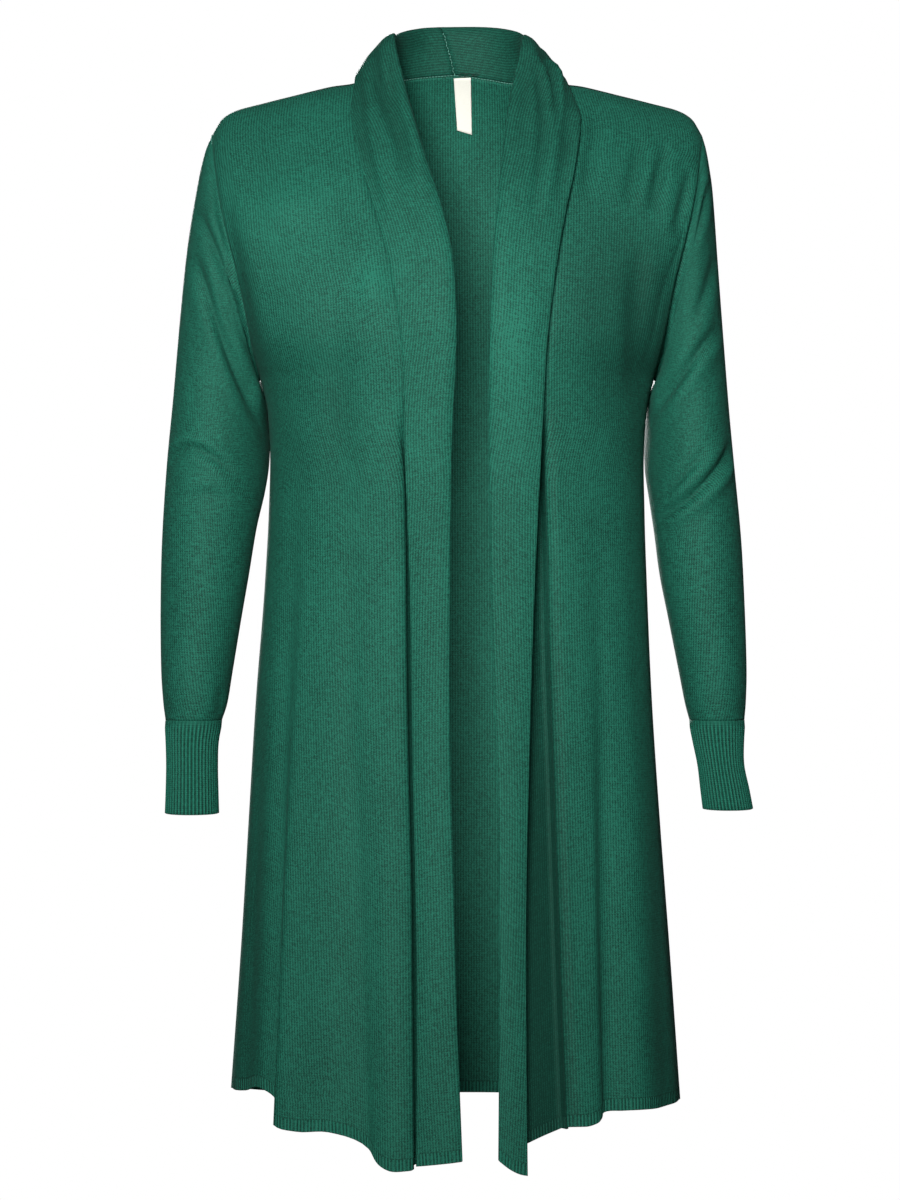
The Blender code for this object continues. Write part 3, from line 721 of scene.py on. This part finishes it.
def knit_finish(name, colour, streaks, hem_band):
    """Fine plain knit of soft yarn: upright wales of small V stitches, faint streaks, low sheen."""
    cloth, tree, stitches = cloth_finish(name, Roughness=0.72, **SOFT_YARN)
    calc = calculator(tree)
    split = tree.nodes.new("ShaderNodeSeparateXYZ")
    tree.links.new(stitches, split.inputs[0])
    across = split.outputs[0]
    up = split.outputs[1]
    turns = calc("MULTIPLY", across, 2 * math.pi / WALE_PITCH)
    wale = calc("MULTIPLY_ADD", calc("COSINE", turns), 0.5, 0.5)
    slant = calc("PINGPONG", across, WALE_PITCH / 2)
    lean = calc("MULTIPLY_ADD", slant, 1.1, up)
    loops = calc("SINE", calc("MULTIPLY", lean, 2 * math.pi / STITCH_PITCH))
    stitch = calc("MULTIPLY", wale, calc("MULTIPLY_ADD", loops, 0.25, 0.75))
    spots = tree.nodes.new("ShaderNodeMapping")
    spots.inputs["Scale"].default_value = (950, 950, 1)
    tree.links.new(stitches, spots.inputs["Vector"])
    cells = tree.nodes.new("ShaderNodeTexVoronoi")
    cells.voronoi_dimensions = "2D"
    cells.inputs["Scale"].default_value = 1
    tree.links.new(spots.outputs[0], cells.inputs["Vector"])
    cell_tone = tree.nodes.new("ShaderNodeSeparateColor")
    tree.links.new(cells.outputs["Color"], cell_tone.inputs[0])
    grain = cell_tone.outputs[0]
    streak = stretched_noise(tree, stitches, (70, 900, 1), 3)
    cloud = stretched_noise(tree, stitches, (22, 14, 1), 3)
    shade = calc("MULTIPLY_ADD", wale, 0.55, 0.22)
    shade = calc("MULTIPLY_ADD", loops, 0.16, shade)
    shade = calc("ADD", shade, calc("MULTIPLY_ADD", grain, 0.6, -0.3))
    shade = calc("ADD", shade, calc("MULTIPLY_ADD", streak, streaks, -streaks / 2))
    shade = calc("ADD", shade, calc("MULTIPLY_ADD", cloud, 0.4, -0.2))
    if hem_band:
        low = calc("LESS_THAN", up, HEM_BAND)
        line = calc("COMPARE", up, HEM_BAND + 0.0003, 0.0006)
        rib = calc("COSINE", calc("MULTIPLY", across, 2 * math.pi / HEM_RIB_PITCH))
        rib = calc("MULTIPLY", rib, low)
        shade = calc("MULTIPLY_ADD", rib, 0.5, shade)
        shade = calc("MULTIPLY_ADD", low, 0.12, shade)
        shade = calc("MULTIPLY_ADD", line, -0.3, shade)
    # Painted shade and highlight from the point attribute scale the blend of the two tones.
    tone = tree.nodes.new("ShaderNodeAttribute")
    tone.attribute_name = "tone"
    shade = calc("MULTIPLY", calc("ADD", shade, 0.5), tone.outputs["Fac"])
    shade = calc("SUBTRACT", shade, 0.5)
    height = calc("MULTIPLY_ADD", grain, 0.3, stitch)
    if hem_band:
        height = calc("MULTIPLY_ADD", rib, 2.2, height)
    colour_and_relief(tree, shade, scaled(colour, 0.45), scaled(colour, 1.55), height, 0.45, 0.0004)
    return cloth


panel_knit = knit_finish("panel_knit", GREEN, 0.8, True)
PANEL_COLUMNS = (len(RIGHT_LINES["hem_x"]) - 1) * PANEL_STEPS

front_right = Cloth("front_right_cloth", front_grid(-1), start=PANEL_COLUMNS)
front_left = Cloth("front_left_cloth", front_grid(1), flipped=True, start=PANEL_COLUMNS)

for front in (front_right, front_left):
    front.turned[PANEL_COLUMNS:] = True
    front.hold(front.grid[:NECK_ROW, 0], front.grid[NECK_ROW - 1, :PANEL_COLUMNS + 1],
               front.grid[NECK_ROW:, PANEL_COLUMNS], front.grid[-1, PANEL_COLUMNS:])

RIGHT_COLLAR_CREASES = creases("""
5 6 0.6 0.035, -76 16, -72 -12, -62 -44, -50 -84, -44 -120
4 4 0.5 0.035, -60 10, -57 -30, -47 -66, -36 -110
5 4 0.5 0.03, -90 -10, -86 -60, -76 -110, -66 -150
""")
LEFT_COLLAR_CREASES = creases("""
3 6.5 0.8 0.065, 70 24, 78 6, 84 -6, 86 -20, 87 -34, 86 -70
4.5 4.4 0.6 0.04, 66 12, 74 -22, 77 -60, 72 -110, 66 -150
4 2.6 0.5 0.03, 60 12, 61 -30, 56 -80
5 3 0.5 0.03, 98 -40, 98 -80, 90 -130
""")
RIGHT_CREASES = creases("""
4 2.6 0.6, -97 -890, -108 -918, -122 -948
7 2.2 0.4, -206 -120, -199 -170, -188 -230, -176 -290
16 2.5 0.3, -108 -210, -104 -300, -100 -420
18 6.5 0, -190 -560, -193 -760, -198 -1300
15 -3 0, -158 -500, -158 -760, -158 -1300
""")
LEFT_CREASES = creases("""
6 3.4 0.5 0.03, 129 -42, 121 -85, 111 -124
6 3.4 0.5 0.03, 166 -70, 158 -102, 151 -130
5 3.6 0.5 0.03, 188 -76, 181 -106, 174 -138
5 3.8 0.5 0.03, 209 -98, 203 -130, 196 -160
9 3 0.4, 163 -170, 162 -240, 160 -310
14 4 0, 188 -560, 190 -760, 194 -1300
15 2.6 0 0.01, 137 -560, 139 -760, 142 -1300
""")
level = np.concatenate([BODY_ROWS, ROWS_ROUND_NECK])
for front, panel_creases, collar_creases in ((front_right, RIGHT_CREASES, RIGHT_COLLAR_CREASES),
                                             (front_left, LEFT_CREASES, LEFT_COLLAR_CREASES)):
    # Each crease paints shade into its trough and highlight onto its ridge.
    for crease in collar_creases:
        front.press(*crease)
    # Painted shade: the collar creases' shading is cleared from the panel columns, and the collar is
    # painted darker towards the neck.
    front.tone[:, :PANEL_COLUMNS] = 1.0
    front.tone[:, PANEL_COLUMNS:] *= 1 - 0.3 * ease(level, 1.2, 2.1)[:, None]
    for crease in panel_creases:
        front.press(*crease)
front_right.swell(-150, -136, 30, 24, 4.0)
front_right.swell(-74, -212, 12, 15, 4.0)
front_left.swell(55, -262, 18, 40, 2.0)
front_left.swell(168, -225, 48, 100, -8.0)
# Soft spots of painted highlight and painted shade on the fronts: lighter on the chest and band, darker on
# the left chest and towards the sides.
PAINTED_LIGHT_SPOTS = (
    # front, x, z, wide, high, lighter or darker: painted highlight above zero, painted shade below
    (front_right, -160, -140, 30, 30, 0.20),
    (front_right, -74, -205, 16, 18, 0.34),
    (front_right, -186, -240, 20, 80, -0.22),
    (front_right, -120, -330, 50, 90, -0.10),
    (front_right, -190, -700, 22, 260, -0.16),
    (front_left, 52, -262, 20, 60, 0.34),
    (front_left, 138, -215, 46, 90, -0.30),
    (front_left, 178, -250, 22, 80, -0.24),
    (front_left, 150, -640, 40, 200, 0.12),
)
for front, x, z, wide, high, amount in PAINTED_LIGHT_SPOTS:
    spot = np.exp(-((front.grid[..., 0] - x) / wide) ** 2 - ((front.grid[..., 2] - z) / high) ** 2)
    front.tone += amount * np.nan_to_num(spot)
# The part that turns back behind the left edge is painted in deep shade low down.
SHADED_COLUMNS = slice(PANEL_COLUMNS - 22, PANEL_COLUMNS + 8)
inner_share = ease(np.arange(22 + 8), 0, 18)
front_left.tone[:, SHADED_COLUMNS] *= 1 - 0.45 * (1 - ease(level, 0.35, 0.95))[:, None] * inner_share

for front, node, area in ((front_right, "front_right", 0.277), (front_left, "front_left", 0.252)):
    piece = front.make(panel_knit)
    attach(piece, "root")
    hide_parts(node)


# The back.
# It is one wide panel of the same knit from side seam to side seam, sewn to the fronts at the
# shoulders and sides and to the collar round the neck, with the same rib band at its hem.
BACK_FOLDS = table("""
across push
-1.00 0
-0.80 2
-0.62 -5
-0.45 4
-0.22 -3
0.05 3
0.28 -4
0.50 4
0.68 -4
0.84 2
1.00 0
""")
BACK_HEM = table("""
across z
-1 -928
-0.5 -943
0 -949
0.5 -945
1 -938
""")
NECK_SHARE = 7 / 20


def back_top_row():
    """Shoulder seams and back neck seam, from the right shoulder tip to the left one."""
    right = front_right.grid[NECK_ROW - 1, :PANEL_COLUMNS + 1]
    left = front_left.grid[NECK_ROW - 1, :PANEL_COLUMNS + 1]
    right_neck = front_right.grid[NECK_ROW:, PANEL_COLUMNS]
    left_neck = front_left.grid[NECK_ROW:, PANEL_COLUMNS]
    return np.vstack([right, right_neck, left_neck[-2::-1], left[::-1]])


def back_row(row, top):
    """Points of the back from its right side seam to its left at one level."""
    half = len(top) // 2
    even = np.interp(np.arange(half + 1), [0, PANEL_COLUMNS, half], [0, 1 - NECK_SHARE, 1])
    sides = []
    for side, edge in ((-1, top[:half + 1]), (1, top[::-1][:half + 1])):
        side_x, side_y, side_z, depth, centre_z = body_section(row, side, False)
        top_share = angle_of(edge[:, 0], YOKE["side_x"][-1]) / (math.pi / 2)
        share = even + (top_share - even) * ease(row, 0.4, 2.0)
        points, out = oval(share * math.pi / 2, side, side_x, side_y, depth, False)
        across = side * (1 - even)
        if row <= 1:
            hem_z = smooth(BACK_HEM["across"], BACK_HEM["z"], across)
            points[:, 2] = hem_z + (UNDERARM - hem_z) * row
            push = smooth(BACK_FOLDS["across"], BACK_FOLDS["push"], across) * (1 - ease(row, 0.0, 0.8))
            points += out * push[:, None]
        else:
            points[:, 2] = centre_z + (side_z - centre_z) * np.abs(points[:, 0]) / side_x
        last = body_section(2.0, side, False)
        base = oval(top_share * math.pi / 2, side, last[0], last[1], last[3], False)[0]
        base[:, 2] = last[4] + (last[2] - last[4]) * np.abs(base[:, 0]) / last[0]
        sides.append(points + (edge - base) * ease(row, 1.5, 2.0) ** 2)
    return np.vstack([sides[0], sides[1][-2::-1]])


back_top = back_top_row()
back_grid = np.array([back_row(row, back_top) for row in BODY_ROWS])
back = Cloth("back_cloth", back_grid, flipped=True, start=back_grid.shape[1] // 2)
BACK_CREASES = creases("""
6 3 0.5, -204 -112, -197 -150, -186 -196
6 3.2 0.5, 206 -106, 198 -148, 188 -190
6 2.4 0.5, -160 -62, -150 -100, -140 -132
6 2.6 0.5, 150 -60, 141 -96, 134 -126
20 3 0.3, -58 -330, -64 -520, -72 -760
18 3 0.3, 84 -300, 88 -480, 96 -700
12 2.2 0.4, -150 -300, -120 -350, -80 -380
12 2 0.4, 150 -310, 126 -352, 90 -376
""")
back.hold(back.grid[:, 0], back.grid[:, -1], back.grid[-1])
# Each crease paints shade into its trough and highlight onto its ridge.
for path, width, depth, lip in BACK_CREASES:
    back.press(path, width, depth, lip, back=True)
piece = back.make(panel_knit)
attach(piece, "root")
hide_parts("back")


# The two sleeves.
# Each is a full tube of the same knit with faint streaks across it, sewn into the armhole and
# under the arm, and drawn in to the ribbed cuff.
RIGHT_SLEEVE = table("""
ring outer_x outer_z inner_x inner_z inner_back front_y back_y
0 222 -63 178 -285 0 -55 60
1 226.8 -74 183 -286.5 0 -56 59
2 231 -90 180.6 -296 7 -58 57
3 236 -116 176.1 -313 20 -59 54
4 243.7 -165 172.4 -337 27 -60 51
5 250 -226 172.2 -362 18 -60 48
6 256.3 -300 175.6 -388 8 -60 44
7 262 -362 182.5 -420 2 -60 39
8 266.2 -430 189.2 -462 0 -58 33
9 267.4 -490 196 -502 0 -56 27
10 266.8 -545 203.3 -547 0 -53 20
11 265 -575 208.2 -577 0 -50 16
12 262.8 -593 213.2 -593 0 -47 13
""")
LEFT_SLEEVE = table("""
ring outer_x outer_z inner_x inner_z inner_back front_y back_y
0 222 -63 178 -285 0 -55 60
1 225.2 -74 183 -286.5 0 -56 59
2 228.3 -92 180.6 -296 7 -58 57
3 231.5 -118 176.1 -313 20 -59 54
4 235.6 -177 172.4 -337 27 -60 51
5 240 -238 172.2 -366 18 -60 48
6 245.5 -310 175.8 -396 8 -60 44
7 250.5 -366 179.6 -425 2 -60 39
8 256.4 -430 184.2 -462 0 -58 33
9 259.4 -490 192 -502 0 -56 27
10 261 -545 200.8 -547 0 -53 20
11 260.4 -575 206.6 -577 0 -50 16
12 259 -593 210.8 -593 0 -47 13
""")
SLEEVE_RINGS = np.concatenate([np.linspace(0, 1, 13), np.linspace(1, 12, 120)[1:]])
ARMHOLE_BLEND = 3.5


def armhole_loop(side, front):
    """Armhole seam from the shoulder tip down the front to the underarm and up the back."""
    front_edge = front.grid[UNDERARM_ROW:NECK_ROW, 0]
    back_edge = back.grid[UNDERARM_ROW:, 0 if side < 0 else -1]
    return np.vstack([front_edge[::-1], back_edge[1:-1]])


def slanting_ring(rows, key, at, angles):
    """Slanting oval through the outer line, the inner line and the two depths."""
    columns = ("outer_x", "inner_x", "front_y", "back_y")
    outer_x, inner_x, front_y, back_y = (read(rows, key, column, at) for column in columns)
    on_sleeve = key == "ring"
    outer_z = read(rows, key, "outer_z", at) if on_sleeve else at
    inner_z = read(rows, key, "inner_z", at) if on_sleeve else at
    inner_back = read(rows, key, "inner_back", at) if on_sleeve else 0.0
    across = np.cos(angles)
    x = (outer_x + inner_x) / 2 + across * (outer_x - inner_x) / 2
    z = (outer_z + inner_z) / 2 + across * (outer_z - inner_z) / 2
    y = (front_y + back_y) / 2 + np.sin(angles) * (front_y - back_y) / 2
    y += inner_back * ((1 - across) / 2) ** 2
    return np.stack([x, y, z], axis=1)


def sleeve_grid(side, front):
    """Rings of a sleeve: the armhole seam first, blending into slanting ovals down the arm."""
    loop = armhole_loop(side, front)
    rows = RIGHT_SLEEVE if side < 0 else LEFT_SLEEVE
    angles = np.linspace(0, 2 * math.pi, len(loop), endpoint=False)
    mirror = np.array([side, 1, 1])
    away = loop * mirror - slanting_ring(rows, "ring", 0.0, angles)
    rings = []
    for at in SLEEVE_RINGS:
        left = max(0.0, 1 - at / ARMHOLE_BLEND)
        rings.append((slanting_ring(rows, "ring", at, angles) + away * left * left) * mirror)
    return np.roll(np.array(rings), -(len(loop) // 2), axis=1)


sleeve_knit = knit_finish("sleeve_knit", GREEN, 1.3, False)
sleeve_right = Cloth("sleeve_right_cloth", sleeve_grid(-1, front_right), True, True, from_last=True)
sleeve_left = Cloth("sleeve_left_cloth", sleeve_grid(1, front_left), True, False, from_last=True)
RIGHT_SLEEVE_CREASES = creases("""
4.5 4.2 0.5, -233 -134, -222 -159, -208 -189, -193 -216
5 6 0.5, -236 -176, -226 -204, -208 -254, -191 -296, -176 -332
4 2.4 0.4, -214 -204, -206 -228, -196 -254
4 6 0.6, -258 -360, -250 -353, -239 -349, -222 -355, -200 -370
6 2.5 0.5, -246 -398, -226 -391, -204 -398
5 1.6 0.4, -212 -560, -213 -580, -214 -600
""")
LEFT_SLEEVE_CREASES = creases("""
5 6 0.5, 236 -238, 214 -266, 194 -292, 174 -322
4.5 7 0.6, 248 -342, 239 -360, 222 -381, 200 -399, 182 -410
4 3.5 0.5, 222 -352, 205 -370, 186 -390
3 3.6 0.5, 220 -92, 215 -114, 207 -140
3 2.6 0.5, 226 -110, 220 -138, 210 -172
5 3 0.4, 236 -165, 224 -205, 210 -240
""")
for sleeve, sleeve_creases in ((sleeve_right, RIGHT_SLEEVE_CREASES), (sleeve_left, LEFT_SLEEVE_CREASES)):
    steps = np.diff(sleeve.grid, axis=0, prepend=sleeve.grid[:1])
    from_seam = np.cumsum(np.linalg.norm(steps, axis=2), axis=0) / 9
    low_part = ease(-sleeve.grid[:1, :, 2], 90, 280) * 6.0 + 1.0
    facing = sleeve.normals()
    low_part = low_part * ease(np.abs(facing[..., 1]), 0.3, 0.8)
    sleeve.grid = sleeve.grid - facing * (low_part * from_seam * np.exp(1 - from_seam))[..., None]
    under = np.exp(-((sleeve.grid[..., 2] + 300) / 22) ** 2)
    under *= ease(-np.abs(sleeve.grid[..., 0]), -190, -181)
    sleeve.grid[..., 0] -= np.sign(sleeve.grid[..., 0]) * 3.6 * under * ease(from_seam, 0.0, 0.6)
    sleeve.hold(sleeve.grid[0], sleeve.grid[-1])
    # Each crease paints shade into its trough and highlight onto its ridge.
    for path, width, depth, lip in sleeve_creases:
        sleeve.press(path, width, depth, lip)
        behind = [(x * 0.995, z + 9) for x, z in path]
        sleeve.press(behind, width * 1.2, depth * 0.7, lip, back=True)
for sleeve, node in ((sleeve_right, "sleeve_right"), (sleeve_left, "sleeve_left")):
    sleeve.start = sleeve.grid.shape[1] // 2
    sleeve.butted = list(range(sleeve.relief.size - sleeve.grid.shape[1], sleeve.relief.size))
    piece = sleeve.make(sleeve_knit)
    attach(piece, "root")
    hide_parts(node)


# The two cuffs.
# Each is a short tube of deep rib knit, joined to the end of its sleeve, with even upright ribs.
RIGHT_CUFF = table("""
height outer_x inner_x front_y back_y
-678 262.4 217 -45 12
-656 261.6 217.6 -45 12
-634 261.2 218 -45 12
-611 261.8 217 -45 12
-593.05 262.8 213.2 -47 13
""")
LEFT_CUFF = table("""
height outer_x inner_x front_y back_y
-674 266 224 -45 12
-656 262.5 221.8 -45 12
-634 257.9 219.2 -45 12
-611 257.8 214.4 -45 12
-593.05 259 210.8 -47 13
""")
RIBS = 44
STEPS_A_RIB = 8
CUFF_STEPS = STEPS_A_RIB * RIBS
CUFF_RINGS = 25
RIB_STITCH_PITCH = 0.0017


def cuff_grid(side):
    rows = RIGHT_CUFF if side < 0 else LEFT_CUFF
    angles = np.linspace(0, 2 * math.pi, CUFF_STEPS, endpoint=False) + math.pi
    mirror = np.array([side, 1, 1])
    heights = np.linspace(rows["height"][-1], rows["height"][0], CUFF_RINGS)
    return np.array([slanting_ring(rows, "height", at, angles) * mirror for at in heights])


def rib_finish(name, colour):
    """Rib knit: raised ribs, small stitches up each rib, with painted shade in the valleys and painted
    highlight on the ribs.
    """
    cloth, tree, stitches = cloth_finish(name, Roughness=0.75, **SOFT_YARN)
    calc = calculator(tree)
    raised = tree.nodes.new("ShaderNodeAttribute")
    raised.attribute_name = "rib"
    split = tree.nodes.new("ShaderNodeSeparateXYZ")
    tree.links.new(stitches, split.inputs[0])
    loops = calc("SINE", calc("MULTIPLY", split.outputs[1], 2 * math.pi / RIB_STITCH_PITCH))
    grain = stretched_noise(tree, stitches, (400, 300, 1), 2)
    # The rib height paints shade into the valleys and highlight onto the ribs.
    shade = calc("MULTIPLY_ADD", raised.outputs["Fac"], 0.9, 0.0)
    shade = calc("ADD", shade, calc("MULTIPLY_ADD", grain, 0.7, -0.35))
    height = calc("MULTIPLY_ADD", grain, 0.8, loops)
    colour_and_relief(tree, shade, scaled(colour, 0.42), scaled(colour, 1.9), height, 0.4, 0.0004)
    return cloth


cuff_knit = rib_finish("cuff_knit", GREEN)
for name, side in (("cuff_right", -1), ("cuff_left", 1)):
    cuff = Cloth(name + "_cloth", cuff_grid(side), True, side < 0, start=CUFF_STEPS // 2)
    wave = 0.5 + 0.5 * np.cos(2 * math.pi * np.arange(CUFF_STEPS) / STEPS_A_RIB)
    fade = ease(np.arange(CUFF_RINGS), -0.5, 2.5)
    cuff.relief = 1.1 * wave[None, :] ** 0.8 * fade[:, None]
    cuff.butted = list(range(CUFF_STEPS))
    piece = cuff.make(cuff_knit)
    # Rib heights for the finish's painted shade in the valleys and painted highlight on the ribs.
    heights = np.zeros(3 * cuff.relief.size)
    heights[:cuff.relief.size] = (0.5 + (wave[None, :] - 0.5) * fade[:, None]).ravel()
    painted_rib_shading = piece.data.attributes.new("rib", "FLOAT", "POINT")
    painted_rib_shading.data.foreach_set("value", heights[cuff.kept].astype(np.float32))
    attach(piece, "root")
    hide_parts(name)


# The neck label.
# It is a bare cream satin ribbon, folded once and caught in the back neck seam, hanging down
# inside against the back.
LABEL_WIDTH = 16.0
LABEL_THICKNESS = 1.0
LABEL_GAP = 0.5


def back_inside(x, height):
    """Depth of the back's middle surface at a place near its centre."""
    middle = back.grid.shape[1] // 2
    strip = back.grid[UNDERARM_ROW:, middle - 24:middle + 25]
    depths = [np.interp(x, line[:, 0], line[:, 1]) for line in strip]
    heights = [np.interp(x, line[:, 0], line[:, 2]) for line in strip]
    return float(np.interp(height, heights, depths))


def label_grid():
    inset = (CLOTH / 2 + LABEL_GAP + LABEL_THICKNESS / 2) * 1.3
    rows = []
    for share in np.linspace(0, 1, 21):
        points = []
        for across in np.linspace(-0.5, 0.5, 9):
            height = -2.0 - share * (47.5 + 4.0 * across)
            x = 5.0 + 2.2 * share + across * (LABEL_WIDTH - 2.0 * share)
            points.append((x, back_inside(x, height) - inset, height))
        rows.append(points)
    return np.array(rows)


ribbon, tree, stitches = cloth_finish("cream_ribbon", Roughness=0.5, Sheen_Weight=0.2)
ribbon_weave = stretched_noise(tree, stitches, (300, 2600, 1), 2)
colour_and_relief(tree, ribbon_weave, (0.62, 0.61, 0.54), (0.80, 0.79, 0.71), ribbon_weave, 0.25, 0.0002)
label = Cloth("label_ribbon", label_grid(), False, False, LABEL_THICKNESS)
piece = label.make(ribbon)
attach(piece, "root")
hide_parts("neck_label")


# The seams.
# The fronts, back and sleeves are linked edge to edge, so at each seam their edges share one
# direction and the cloth runs on from one to the next with a shallow groove between.
meeting = {}
sewn = (front_right, front_left, back, sleeve_right, sleeve_left)
for cloth in sewn:
    places = cloth.grid.reshape(-1, 3)
    normals = cloth.normals().reshape(-1, 3)
    a, b, owner = cloth.edges()
    for index in np.unique(np.concatenate([a, b])):
        meeting.setdefault(tuple(np.round(places[index], 1)), []).append((cloth, index, normals[index]))
for group in meeting.values():
    if len(group) > 1:
        together = unit(sum(normal for cloth, index, normal in group))
        for cloth, index, normal in group:
            cloth.shared[index] = together
for cloth in sewn:
    cloth.settle()


# The seam threads.
# The collar's centre-back seam, the back neck seam and the top of the right armhole seam show short
# raised stitches of a lighter green thread; dark thread ends lie knotted above the label.


def thread_stitches(name, paths, radius, length, gap, colour):
    """Short arched stitches laid along paths, as one piece."""
    sides = 6
    stations = ((0.0, 0.4), (0.12, 0.85), (0.35, 1.0), (0.65, 1.0), (0.88, 0.85), (1.0, 0.4))
    places = []
    faces = []
    for path in paths:
        reach = np.concatenate([[0], np.cumsum(np.linalg.norm(np.diff(path, axis=0), axis=1))])
        for start in np.arange(0, reach[-1] - length, length + gap):
            at = [start + length * share for share, width in stations]
            spine = np.stack([np.interp(at, reach, path[:, axis]) for axis in range(3)], axis=1)
            along = unit(spine[-1] - spine[0])
            first = unit(np.cross(along, (0.0, 1.0, 0.2)))
            second = np.cross(along, first)
            base = len(places)
            for (share, width), spot in zip(stations, spine):
                arch = math.sin(math.pi * share) * (1 if second[1] < 0 else -1)
                spot = spot + second * radius * 1.2 * arch
                for k in range(sides):
                    turn = 2 * math.pi * k / sides
                    outward = first * math.cos(turn) + second * math.sin(turn)
                    places.append(spot + outward * radius * width)
            for ring in range(len(stations) - 1):
                for k in range(sides):
                    low = base + ring * sides
                    following = low + (k + 1) % sides
                    faces.append((low + k, following, following + sides, low + sides + k))
            faces.append(tuple(base + k for k in reversed(range(sides))))
            faces.append(tuple(base + (len(stations) - 1) * sides + k for k in range(sides)))
    mesh = bpy.data.meshes.new(name)
    mesh.from_pydata((np.array(places) * 0.001).tolist(), [], faces)
    mesh.polygons.foreach_set("use_smooth", np.ones(len(faces), dtype=bool))
    thread = plain_finish(name, Roughness=0.55)
    tree = thread.node_tree
    grain = tree.nodes.new("ShaderNodeTexNoise")
    grain.inputs["Scale"].default_value = 1500
    place = tree.nodes.new("ShaderNodeTexCoord")
    tree.links.new(place.outputs["Object"], grain.inputs["Vector"])
    colour_and_relief(tree, grain.outputs[0], scaled(colour, 0.8), scaled(colour, 1.2))
    mesh.materials.append(thread)
    piece = bpy.data.objects.new(name, mesh)
    bpy.context.scene.collection.objects.link(piece)
    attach(piece, "root")


THREAD_RAISE = np.array([0.0, -1.05, 0.25])
neck_line = np.vstack([front_right.grid[NECK_ROW + 4:, PANEL_COLUMNS],
                       front_left.grid[NECK_ROW + 4:-1, PANEL_COLUMNS][::-1]]) + THREAD_RAISE
centre_line = front_right.grid[-1, PANEL_COLUMNS:PANEL_COLUMNS + 10] + np.array([0.0, -1.05, 0.0])
centre_line = resample(centre_line, [4] * (len(centre_line) - 1))
centre_line[:, 0] += 0.5 * np.sin(np.arange(len(centre_line)) * 1.3)
armhole_line = (front_right.grid + front_right.normals() * 1.05)[NECK_ROW - 10:NECK_ROW, 0][::-1]
thread_stitches("neck_seam_thread", (neck_line, centre_line, armhole_line),
                radius=0.32, length=2.4, gap=0.5, colour=(0.10, 0.30, 0.235))
turns = np.linspace(0, 2 * math.pi, 15)
knots = []
for x, wide, high in ((6.0, 4.0, 1.6), (11.5, 4.6, 1.3), (17.5, 3.6, 1.0)):
    depth = back_inside(x, -1.0) - 2.6
    knot = (x + wide * np.cos(turns), depth + 0.4 * np.sin(2 * turns), 0.5 + high * np.sin(turns))
    knots.append(np.stack(knot, axis=1))
thread_stitches("thread_ends", knots, radius=0.28, length=2.0, gap=0.0, colour=(0.004, 0.03, 0.02))
